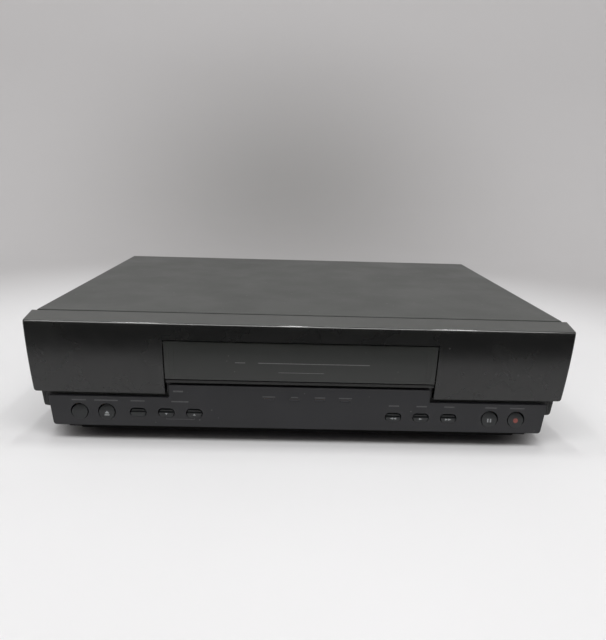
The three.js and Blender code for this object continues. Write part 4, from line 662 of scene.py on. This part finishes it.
paint = cover_paint()
visor_plastic = moulded("visor_plastic", (0.0042, 0.0044, 0.0041), 0.27, 0.03, gloss=0.6)
# A paler colour on the visor's rounded top edge, a painted highlight line; its low roughness lets the lamps
# glint there
painted_highlight_plastic = moulded("painted_highlight_plastic", (0.05, 0.051, 0.049), 0.1, 0.02, False, 1.0)
frame_plastic = moulded("frame_plastic", (0.012, 0.0122, 0.012), 0.5, 0.1, False)
# The top strip is the visor's plastic with its own rougher grain, painted paler as light from above falls on
# it
strip_plastic = moulded("strip_plastic", (0.078, 0.08, 0.076), 0.45)
door_plastic = moulded("door_plastic", (0.0095, 0.0112, 0.0092), 0.35, 0.05, gloss=0.62)
panel_plastic = moulded("panel_plastic", (0.0088, 0.009, 0.011), 0.46)
key_plastic = moulded("key_plastic", (0.014, 0.0155, 0.016), 0.42, 0.08, False)
tub_plastic = moulded("tub_plastic", (0.005, 0.005, 0.005), 0.85, 0.16, False, 0.06)
rear_paint = moulded("rear_paint", (0.028, 0.0285, 0.029), 0.5, 0.2)
black_plastic = moulded("black_plastic", (0.018, 0.018, 0.018), 0.45, 0.1, False)
white_plastic = moulded("white_plastic", (0.62, 0.6, 0.55), 0.4, 0.06, False)
yellow_plastic = moulded("yellow_plastic", (0.75, 0.5, 0.03), 0.4, 0.06, False)
grey_ink = marked("grey_ink", (0.13, 0.13, 0.13))
soft_ink = marked("soft_ink", (0.25, 0.26, 0.265))
faint_ink = marked("faint_ink", (0.03, 0.03, 0.031), 0.42)
pale_ink = marked("pale_ink", (0.32, 0.335, 0.335))
red_ink = marked("red_ink", (0.21, 0.05, 0.038))
label_ink = marked("label_ink", (0.066, 0.066, 0.068))
lens_plastic = moulded("lens_plastic", (0.016, 0.016, 0.019), 0.3, 0.03, False)
plated = metal("plated_steel", (0.56, 0.57, 0.57), 0.34, 90, 0.05)
polished = metal("polished_steel", (0.72, 0.73, 0.74), 0.16, 500, 0.03, (1, 1, 12))
cast = metal("cast_aluminium", (0.6, 0.61, 0.62), 0.3, 700, 0.06, (1, 1, 8))
black_steel = metal("black_steel", (0.05, 0.05, 0.052), 0.38, 200, 0.04)
nickel = metal("nickel", (0.66, 0.64, 0.6), 0.24, 200, 0.03)
green_board = laminate("green_board", (0.03, 0.11, 0.045))
brown_board = laminate("brown_board", (0.22, 0.13, 0.055))
winding = moulded("winding", (0.3, 0.16, 0.07), 0.5, 0.2, False)
rubber = rubber_compound()


# Camera, floor, backdrop and lamps


def make_camera():
    flat_ahead = cos(camera_pitch)
    ahead = Vector((sin(camera_yaw) * flat_ahead, cos(camera_yaw) * flat_ahead, -sin(camera_pitch)))
    level = Vector((cos(camera_yaw), -sin(camera_yaw), 0))
    upright = level.cross(ahead)
    right = cos(camera_roll) * level + sin(camera_roll) * upright
    up = -sin(camera_roll) * level + cos(camera_roll) * upright
    data = bpy.data.cameras.new("camera")
    data.sensor_fit = "HORIZONTAL"
    data.sensor_width = sensor_width_mm
    data.lens = sensor_width_mm * focal_pixels / photo_width
    data.shift_y = (centre_row - photo_height / 2) / photo_width
    data.clip_start = camera_clip
    camera = link("camera", data)
    turn = Matrix((right, up, -ahead)).transposed().to_4x4()
    camera.matrix_world = Matrix.Translation(camera_place) @ turn
    bpy.context.scene.camera = camera


def make_backdrop():
    """A round pale studio: a floor that sweeps up into one wall all round."""
    sheet = Surface("backdrop", floor_colours[1], 0.85, gloss=0)
    tone = sheet.mix(sheet.spread(sheet.noise(3, 3.0), 0, 1), *floor_colours)
    # Painted shade: the floor greys into the wall further out, where the light falls off
    away = sheet.ellipse((0, 0, 0), (1, 1, 1))
    tone = sheet.mix(sheet.spread(away, 0, 1, pale_radius, grey_radius, "SMOOTHSTEP"), tone, wall_colour)
    # Painted shadow: a soft dark patch on the wall behind the recorder
    behind = sheet.ellipse(painted_shadow_centre, painted_shadow_radii)
    tone = sheet.mix(sheet.spread(behind, painted_shadow_share, 0, 0, 1, "SMOOTHSTEP"), tone, painted_shadow_colour)
    # Painted shade under and round the object, where it covers the floor closely
    under = sheet.spread(sheet.openness(shade_reach), 0, 1, *shade_range)
    sheet.colour_by(sheet.mix(under, shade_colour, tone))
    line = [(MM, 0.0), (pale_radius, 0.0)]
    line += arc((wall_radius - sweep_radius, sweep_radius), sweep_radius, -90, 0, 16)
    line.append((wall_radius, wall_height))
    rings = [[(x, y, z) for x, y in circle(radius, 96)] for radius, z in line]
    bowl = smooth(ring_mesh("backdrop", rings, False), 60)
    painted(bowl, sheet.material)


def make_flags():
    """Two black cards in front that only reflections see: a painted dark reflection in the gloss, as they
    cast no shadow and the camera does not see them.
    """
    card = Surface("black_card", (0.03, 0.03, 0.03), 0.9)
    card.vary(0.1, 5, 0.05)
    lying = [(flag_near, flag_lift), (flag_far, flag_lift)]
    standing = [(flag_far, flag_lift), (flag_far, flag_height)]
    for name, line in (("flag_lying", lying), ("flag_standing", standing)):
        points = [(x, y, z) for y, z in line for x in (-flag_half, flag_half)]
        obj = painted(mesh_piece(name, points, [(0, 1, 3, 2)]), card.material)
        obj.visible_camera = obj.visible_shadow = obj.visible_diffuse = False


def make_lights():
    for name, place, target, size, power in lamps:
        data = bpy.data.lights.new(name, "AREA")
        data.shape = "RECTANGLE"
        data.size, data.size_y = size
        data.energy = power
        obj = link(name, data)
        obj.location = place
        obj.rotation_mode = "QUATERNION"
        obj.rotation_quaternion = (Vector(target) - Vector(place)).to_track_quat("-Z", "Y")
    world = bpy.data.worlds.new("studio")
    world.use_nodes = True
    background = world.node_tree.nodes["Background"]
    background.inputs["Color"].default_value = world_colour
    background.inputs["Strength"].default_value = world_strength
    bpy.context.scene.world = world


make_camera()
make_backdrop()
make_flags()
make_lights()
bpy.context.scene.view_settings.view_transform = "Standard"


# Front bezel


def face_y(z):
    """Where the visor's curved face lies at a height, halfway along the front."""
    share = (face_top - z) / (face_top - visor_bottom)
    return front_y + visor_recede * max(share, 0) ** visor_curve


def bow_at(x):
    """How far the face lies back from its middle, at a place across the front."""
    return visor_bow * (x / visor_half) ** 2


def visor_rows():
    """The visor's section from the seam over the top and down, as (depth, height, bow share)."""
    seam_depth = seam_y - front_y
    rear = seam_depth - strip_round
    rows = [(seam_depth, strip_top - k * strip_round, 0) for k in (3, 1)]
    for t in spaced(0, 1, 4):
        rows.append((rear * (1 - t) + edge_radius * t, strip_top * (1 - t) + edge_top * t, t))
    for a in turns(90, 180, 9):
        rows.append((edge_radius * (1 + cos(a)), edge_top - edge_radius * (1 - sin(a)), 1))
    heights = [edge_top - edge_radius] + spaced(face_top, opening_top, 5)
    heights += spaced(opening_top, sill_top, 14)
    heights += spaced(sill_top, visor_bottom + foot_radius, 5)
    heights += [visor_bottom + foot_radius * (1 - sin(a)) for a in turns(0, 105, 7)]
    rows += [(face_y(z) - front_y, z, 1) for z in heights]
    rows.append((seam_depth, visor_bottom, 0))
    return rows


def visor_columns():
    """The visor's places across the front, as (base x, outward, back)."""
    right_end = [(visor_half, visor_corner * sin(a), visor_corner * (1 - cos(a))) for a in turns(15, 105, 6)]
    right_end.append((visor_half, visor_corner - side_taper, inf))
    wing = spaced(visor_half, opening_half, 12) + [opening_half]
    middle = [centre_half * k / 8 for k in range(-8, 9)]
    flat = [(-x, 0, 0) for x in wing] + [(x, 0, 0) for x in middle] + [(x, 0, 0) for x in reversed(wing)]
    left_end = [(-x, -outward, back) for x, outward, back in reversed(right_end)]
    return left_end + flat + right_end


def visor_point(column, row):
    base, outward, back = column
    depth, z, bowed = row
    drop = max(face_top - z, 0) / (face_top - visor_bottom)
    beyond = max(abs(base) - opening_half, 0) / (visor_half - opening_half)
    x = base - copysign(visor_draft * drop * beyond, base) + outward
    low = max(visor_bottom + foot_radius - z, 0)
    if abs(base) == visor_half and low > 0:
        x -= copysign(foot_radius - sqrt(max(foot_radius**2 - low**2, 0)), base)
    y = min(front_y + depth + bowed * (bow_at(base) + back), seam_y) if back < inf else seam_y
    return Vector((x, y, z))


def make_visor():
    """The curved front in one skin, open where the door and the recess under it are."""
    rows, columns = visor_rows(), visor_columns()
    points = [visor_point(column, row) for row in rows for column in columns]

    def closed(face):
        r, c = divmod(face[0], len(columns))
        middle_x = (columns[c][0] + columns[c + 1][0]) / 2
        middle_z = (rows[r][1] + rows[r + 1][1]) / 2
        return abs(middle_x) >= opening_half - tiny or middle_z >= opening_top

    def in_rim(p):
        return abs(p.x) < opening_half + tiny and p.y < seam_y - overlap

    def wall_end(p):
        over_door = p.z > opening_top - tiny and abs(p.x) < opening_half - tiny
        return front_y + lintel_depth if over_door else seam_y + wall_overlap

    faces = filter(closed, grid_faces(len(rows), len(columns)))
    obj = walled(mesh_piece("visor_shell", points, list(faces)), in_rim, wall_end)
    soften(obj, visor_rounding, 3, 50)
    for material in (visor_plastic, strip_plastic, painted_highlight_plastic):
        obj.data.materials.append(material)
    # Faces that point up take the strip's paler colour, painted light from above; the rounded top edge takes
    # the painted highlight
    for face in obj.data.polygons:
        if face.center.z > edge_top - edge_radius:
            face.material_index = 1 if face.normal.z > strip_slope else 2 if face.normal.z > edge_slope else 0
    dress(obj, "case", None, ["front_bezel"])


def key_holes(gap):
    """Outlines round all keys, wider than the keys by a gap."""
    holes = [circle(round_key_radius + gap, 72, (key_xs[node], key_z)) for node in round_keys]
    half_sizes = (capsule_half_width + gap, capsule_half_height + gap)
    return holes + [capsule_outline(key_xs[node], key_z, *half_sizes) for node in capsule_keys]


def make_apron():
    """The set-back part of the front under the visor, with its fine upright ribs."""
    outline = both_sides(
        (tongue_half, frame_low.z, 0),
        (tongue_half, apron_bottom, 0),
        (apron_half - apron_draft, apron_bottom, apron_corner),
        (apron_half, visor_bottom - apron_top_gap, 0),
    )
    apron = plate("apron", rounded(outline), key_holes(well_gap), seam_y - apron_face, plastic_rounding)
    pieces = [moved(apron, 0, apron_face, 0)]
    for side in (-1, 1):
        for k in range(3):
            x = side * (apron_half - apron_rib_inset - apron_rib_pitch * k)
            low = (x - apron_rib_half, apron_face - apron_rib_half, apron_bottom + apron_corner)
            high = (x + apron_rib_half, apron_face + apron_rib_sink, visor_bottom - apron_rib_gap)
            pieces.append(block("rib", low, high, apron_rib_rounding))
    return pieces


def make_recess():
    """The ledge under the door and the wall behind the control panel."""
    ledge_low = (-centre_half, frame_low.y, sill_top - sill_height)
    ledge = block("ledge", ledge_low, (centre_half, seam_y, sill_top), low_rounding)
    low = (-centre_half, apron_face, visor_bottom - overlap)
    high = (centre_half, apron_face + recess_wall, sill_top - overlap)
    return [ledge, block("recess_wall", low, high)]


def make_frame():
    shell_piece = joined("frame_shell", [*make_apron(), *make_recess()])
    dress(shell_piece, "case", frame_plastic, ["front_frame"])


def make_skirt():
    """The tub's low front lip, which shows black under the control panel."""
    low = (skirt_half, skirt_bottom, skirt_corner)
    outline = rounded(both_sides(low, (skirt_half + skirt_draft, frame_low.z + overlap, 0)))
    lip = plate("tub_lip", outline, [], tub_low.y - apron_face - skirt_gap, low_rounding)
    dress(moved(lip, 0, apron_face, 0), "case", tub_plastic)


# Cassette door


def door_line(x):
    """A fine upright moulding line that follows the door's curve."""
    low, high = door_low.z + door_line_end_gaps[0], hinge_z - door_line_end_gaps[1]
    section = ((-1, door_line_sink), (-0.5, -door_line_proud), (0.5, -door_line_proud), (1, door_line_sink))
    rings = []
    for z in [*spaced(low, high, 14), high]:
        face = face_y(z) + door_recess
        rings.append([(x + share * door_line_half, face + back, z) for share, back in section])
    return smooth(ring_mesh("line", rings))


def door_leaf(hinge_y):
    """The door's curved leaf, thick enough to round off about its hinge."""
    heights = [*spaced(door_low.z, hinge_z, 18), hinge_z]
    section = [(face_y(z) + door_recess, z) for z in heights]
    section += around((hinge_y, hinge_z), hinge_radius, turns(180, -30, 12))
    section += [(face_y(z) + door_recess + door_thickness, z) for z in reversed(heights[:-2])]
    leaf = ring_mesh("leaf", [[(x, y, z) for y, z in section] for x in (-door_half, door_half)])
    return soften(leaf, plastic_rounding, 2, 50)


def make_door():
    hinge_y = face_y(hinge_z) + hinge_setback
    pieces = [door_leaf(hinge_y)]
    pieces += [door_line(side * x) for side in (-1, 1) for x in door_line_xs]
    reach = opening_half - door_half - pin_gap
    pin = [(pin_radius, -reach), (pin_radius, reach)]
    for side in (-1, 1):
        place = (side * door_half, hinge_y, hinge_z)
        pieces.append(turned("hinge_pin", pin, place, rotation(90, "Y"), 24))
    back = face_y(door_low.z) + door_recess + door_thickness
    for k in range(-2, 3):
        x = door_rib_pitch * k
        low = (x - door_rib_half, back - door_rib_start, door_low.z + door_rib_end_gaps[0])
        high = (x + door_rib_half, back - door_rib_end, hinge_z - door_rib_end_gaps[1])
        pieces.append(block("rib", low, high, door_rib_rounding))
    dress(joined("cassette_flap", pieces), "door", door_plastic, ["cassette_door"])


# Control panel and keys


def panel_face(z):
    share = (panel_wing_top - z) / (panel_wing_top - panel_low.z)
    return front_y + panel_top_depth + (panel_bottom_depth - panel_top_depth) * share


def make_panel():
    outline = both_sides(
        (panel_bottom_half, panel_bottom, panel_corner),
        (panel_top_half, panel_wing_top, panel_top_corner),
        (panel_raised_half, panel_wing_top, panel_top_corner),
        (panel_raised_half, panel_high.z, raised_corner),
    )
    windows = [capsule_outline(x, indicator_z, *window_half_sizes, 5) for x in indicator_xs]
    holes = key_holes(key_gap) + windows
    panel = plate("control_panel_shell", rounded(outline), holes, panel_thickness, panel_rounding)
    for v in panel.data.vertices:
        v.co.y += panel_face(v.co.z)
    panel.data.update()
    dress(panel, "case", panel_plastic, ["control_panel"])


def make_round_key(node, x):
    """A round key: flush at the bottom, bending back behind a wide gap at the top."""
    centre = key_z - cap_drop
    back = front_y + key_depth

    def face(dx, dz):
        share = max((dz + cap_bend) / (cap_radius + cap_bend), 0)
        hollow = key_hollow * (1 - (dx * dx + dz * dz) / cap_radius**2)
        proud = key_proud * min(max(-dz / cap_radius, 0) * proud_ramp, 1)
        return panel_face(centre + dz) + hollow - proud + key_dish * share**2

    shape = [(cap_radius, None)]
    shape += [(cap_radius - cap_rim * (1 - cos(a)), cap_rim * (1 - sin(a))) for a in turns(0, 90, 4)]
    shape += [(share * (cap_radius - cap_rim), 0) for share in cap_shares]
    rings = []
    for radius, offset in shape:
        ring = []
        for dx, dz in circle(radius, 64):
            ring.append((x + dx, back if offset is None else face(dx, dz) + offset, centre + dz))
        rings.append(ring)
    cap = smooth(ring_mesh(node.replace("button", "cap"), rings), 40)
    dress(cap, key_bodies[node], key_plastic, [node])
    return lambda u, v: face(u, v + cap_drop)


def capsule_face(v):
    """Where a capsule key's face lies, at a height from its middle."""
    behind = capsule_section[-1][1]
    for (z0, d0), (z1, d1) in zip(capsule_section, capsule_section[1:]):
        if v <= z1:
            behind = d0 + (d1 - d0) * max((v - z0) / (z1 - z0), 0)
            break
    return panel_face(key_z + v) + behind


def make_capsule_key(node, x):
    """A capsule key: flush below, with a nail scoop and a set-back rim above."""
    half_height = capsule_section[-1][0]
    reach = capsule_half_width - capsule_half_height
    across = 14
    points = []
    for v, _ in capsule_section:
        chord = reach + sqrt(max(half_height**2 - v**2, 0)) + capsule_blunt
        for k in range(across + 1):
            place = x - chord + 2 * chord * k / across
            points.append((place, capsule_face(v), key_z - capsule_drop + v))
    cap = mesh_piece(node.replace("button", "cap"), points, grid_faces(len(capsule_section), across + 1))
    smooth(walled(cap, lambda p: True, lambda p: front_y + key_depth), 28)
    dress(cap, key_bodies[node], key_plastic, [node])


def inlay(name, outline, height_of, x, z):
    """A thin printed shape at (x, z) that lies on a face given by its depth."""
    points = [(x + u, height_of(u, v) - ink_proud, z + v) for u, v in outline]
    return recalculated(mesh_piece(name, points, [tuple(range(len(points)))]))


def print_shape(kind, width, height):
    """A printed outline round the origin: a bar, a disc, or a triangle by where it points."""
    if kind == "disc":
        return circle(width / 2, 32)
    w, h = width / 2, height / 2
    return {
        "bar": [(-w, -h), (w, -h), (w, h), (-w, h)],
        "up": [(-w, -h), (w, -h), (0, h)],
        "down": [(-w, h), (0, -h), (w, h)],
        "left": [(-w, 0), (w, -h), (w, h)],
        "right": [(-w, -h), (w, 0), (-w, h)],
    }[kind]


def make_keys():
    faces = {node: make_round_key(node, key_xs[node]) for node in round_keys}
    for node in capsule_keys:
        make_capsule_key(node, key_xs[node])
        faces[node] = lambda u, v: capsule_face(v + capsule_drop)
    inks = {"stop_eject_button": pale_ink, "record_button": red_ink}
    for node, (_, _, shapes) in keys.items():
        for k, (kind, width, height, right, up) in enumerate(shapes):
            name = f"{node.replace('button', 'icon')}_{k + 1}"
            outline = [(u + right * MM, v + up * MM) for u, v in print_shape(kind, width * MM, height * MM)]
            mark = inlay(name, outline, faces[node], key_xs[node], key_z)
            dress(mark, key_bodies[node], inks.get(node, soft_ink))


def make_indicators():
    outline = capsule_outline(0, 0, *lens_half_sizes, 6)
    for k, x in enumerate(indicator_xs):
        lens = plate(f"indicator_lens_{k + 1}", outline, [], lens_thickness, lens_rounding)
        moved(lens, x, panel_face(indicator_z) + lens_sink, indicator_z)
        dress(lens, "case", lens_plastic)


make_visor()
make_frame()
make_skirt()
make_door()
make_panel()
make_keys()
make_indicators()


# Markings


def panel_mark(name, x, z, width, height):
    mark = inlay(name, print_shape("bar", width, height), lambda u, v: panel_face(z + v), x, z)
    dress(mark, "case", label_ink)


def make_markings():
    for node in sorted(keys, key=key_xs.get):
        width = keys[node][1]
        if width:
            name = node.replace("button", "dash")
            panel_mark(name, key_xs[node], label_z, width * MM, label_thick)
    down, up = key_xs["channel_down_button"], key_xs["channel_up_button"]
    middle, half = (down + up) / 2, (up - down) / 2
    low = key_z - bracket_drop
    panel_mark("channel_dash", middle, label_z, channel_dash_width, label_thick)
    panel_mark("channel_bracket", middle, low, 2 * half, bracket_thickness)
    for name, x in (("left", down), ("right", up)):
        panel_mark(f"channel_tick_{name}", x, low + tick_size[1] / 2, *tick_size)
    panel_mark("corner_dash", *corner_label)
    height = indicator_z + dash_rise
    for k, (x, width) in enumerate(zip(indicator_xs, dash_widths_mm)):
        panel_mark(f"indicator_dash_{k + 1}", x, height, width * MM, dash_thickness)


def make_door_marks():
    for k, sizes in enumerate(pinstripes_mm):
        x, z, width, height = mm(*sizes)
        outline = print_shape("bar", width, height)
        mark = inlay(f"door_pinstripe_{k + 1}", outline, lambda u, v: face_y(z + v) + door_recess, x, z)
        dress(mark, "door", grey_ink)


def make_wing_marks():
    """A row of faint worn diamonds on the right wing."""
    w, h = diamond_half_sizes
    for k in range(6):
        x, z = diamond_x + diamond_pitch * k, diamond_z - diamond_fall * k
        outline = [(-w, 0), (0, -h), (w, 0), (0, h)]
        mark = inlay(f"wing_diamond_{k + 1}", outline, lambda u, v: face_y(z + v) + bow_at(x), x, z)
        dress(mark, "case", faint_ink)


make_markings()
make_door_marks()
make_wing_marks()


# Cover


def cover_section(inset):
    """The cover's folded sheet in section, drawn in by an inset on its outside."""
    half, top, low = cover_high.x, cover_high.z, cover_low.z
    inner_half, inner_top = half - sheet_thickness, top - sheet_thickness
    outer = both_sides((half - inset, low, 0), (half - inset, top - inset, sheet_bend))
    inner = both_sides((inner_half, low, 0), (inner_half, inner_top, sheet_bend - sheet_thickness))
    return rounded(outer, 8) + list(reversed(rounded(inner, 8)))


def make_cover():
    """The folded steel cover with its bends, rolled front edge and cooling slots."""
    roll = [(cover_low.y + sheet_roll * (1 - sin(a)), sheet_roll * (1 - cos(a))) for a in turns(90, 0, 4)]
    roll += [(cover_low.y + sheet_roll, 0), (cover_high.y, 0)]
    rings = [[(x, y, z) for x, z in cover_section(inset)] for y, inset in roll]
    shell = ring_mesh("cover_sheet", rings)
    outline = capsule_outline(0, 0, *slot_half_sizes, 8)
    turn = rotation(-90, "Z") @ rotation(90, "Y")
    cutters = []
    for k in range(7):
        slot = plate("slot", outline, [], slot_cutter, 0.0)
        y = cover_high.y - slot_inset - slot_pitch * k
        cutters.append(moved(slot, -slot_cutter / 2, y, slot_level, turn))
    soften(carved(shell, cutters), cover_rounding, 2, 50)
    dress(shell, "case", paint, ["top_cover"])


make_cover()


# Sockets and screws on the back and the sides


def sleeve(name, outer, inner, start, end, at, sides=40):
    """A tube along Y round a point of (x, z), its rims rounded."""
    rim = min(outer - inner, end - start) * rim_share
    profile = [(outer, start), (outer, end - rim), (outer - rim, end)]
    profile += [(inner + rim, end), (inner, end - rim), (inner, start), (outer, start)]
    rings = [[(x, along, z) for x, z in circle(radius, sides, at)] for radius, along in profile]
    return smooth(ring_mesh(name, rings, False), 40)


def make_av_sockets():
    """Four pin jacks in their block: nickel barrels on coloured collars."""
    low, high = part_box("av_socket_block")
    face, root = rear_high.y, rear_low.y
    body = block("body", low, (high.x, root - jack_body_gap, high.z), jack_body_rounding)
    pieces = [painted(body, black_plastic)]
    for x, colour in zip(jack_columns, (yellow_plastic, white_plastic)):
        sleeves = (
            ("collar", face, face + collar_thickness, colour),
            ("barrel", root, high.y, nickel),
            ("insulator", root, high.y - insulator_sink, colour),
            ("contact", root, high.y - contact_sink, nickel),
        )
        for z in jack_rows:
            for name, start, end, material in sleeves:
                pieces.append(painted(sleeve(name, *jack_radii[name], start, end, (x, z)), material))
    dress(joined("av_sockets", pieces), "case", None, ["av_socket_block"])


def make_aerial_threads():
    """Threads and hexagon nuts on the two aerial sockets."""
    face = rear_high.y
    count = int((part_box("tuner_box")[1].y - face - thread_room) / thread_pitch)
    pieces = []
    for z in aerial_rows:
        at = (aerial_x, z)
        pieces.append(sleeve("nut", *nut_radii, face, face + nut_thickness, at, 6))
        for k in range(count):
            start = face + thread_start + thread_pitch * k
            pieces.append(sleeve("thread", *thread_radii, start, start + thread_width, at))
    dress(joined("aerial_threads", pieces), "case", nickel)


def screw_head():
    """A pan head with a cross recess, pointing along Y."""
    head = turned("head", screw_profile, (0, 0, 0), rotation(-90, "X"), 32)
    cutters = []
    for x, z in ((cross_reach, cross_half), (cross_half, cross_reach)):
        cutters.append(block("bar", (-x, cross_floor, -z), (x, cross_top, z)))
    return smooth(carved(head, cutters), 35)


def make_screws():
    """Screws through the rear panel and through the cover's sides."""
    head = screw_head()

    def screw(x, y, z, degrees=0):
        return moved(link("screw", head.data.copy()), x, y, z, rotation(degrees, "Z"))

    rear_screws = [screw(x * MM, rear_high.y, z * MM) for x, z in rear_screws_mm]
    places = [(side, y) for side in (-1, 1) for y in side_screw_ys]
    side_screws = [screw(side * cover_high.x, y, side_screw_z, -90 * side) for side, y in places]
    bpy.data.objects.remove(head)
    dress(joined("rear_screws", rear_screws), "case", nickel)
    dress(joined("cover_screws", side_screws), "case", black_steel)


make_av_sockets()
make_aerial_threads()
make_screws()


# CAD nodes that stay as they are, with softened edges and a surface

kept_nodes = (
    (rear_paint, ["rear_panel"]),
    (tub_plastic, ["bottom_chassis"]),
    (rubber, ["foot_front_left", "foot_front_right", "foot_rear_left", "foot_rear_right", "pinch_roller"]),
    (brown_board, ["front_board", "power_board"]),
    (green_board, ["main_board"]),
    (winding, ["power_transformer"]),
    (cast, ["heat_sink", "lower_drum", "erase_head", "audio_control_head", "capstan_bearing"]),
    (cast, ["supply_guide_carrier", "takeup_guide_carrier"]),
    (polished, ["upper_drum", "supply_guide_roller", "takeup_guide_roller", "capstan_flywheel"]),
    (plated, ["tuner_box", "mechanism_deck", "carriage_side_left", "carriage_side_right"]),
    (plated, ["carriage_bridge", "cassette_holder", "pinch_arm", "tension_arm", "loading_motor"]),
    (black_plastic, ["filter_capacitor", "power_inlet", "carriage_slider", "idler_arm"]),
    (white_plastic, ["supply_reel_table", "takeup_reel_table", "idler_wheel", "cam_gear", "worm"]),
)


def soften_node(obj, material):
    flat = obj.modifiers.new("flat_faces", "DECIMATE")
    flat.decimate_type = "DISSOLVE"
    flat.angle_limit = radians(1)
    add_rounding(obj, node_rounding, 2, 50)
    painted(obj, material)


for material, nodes in kept_nodes:
    for node in nodes:
        soften_node(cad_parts[node], material)
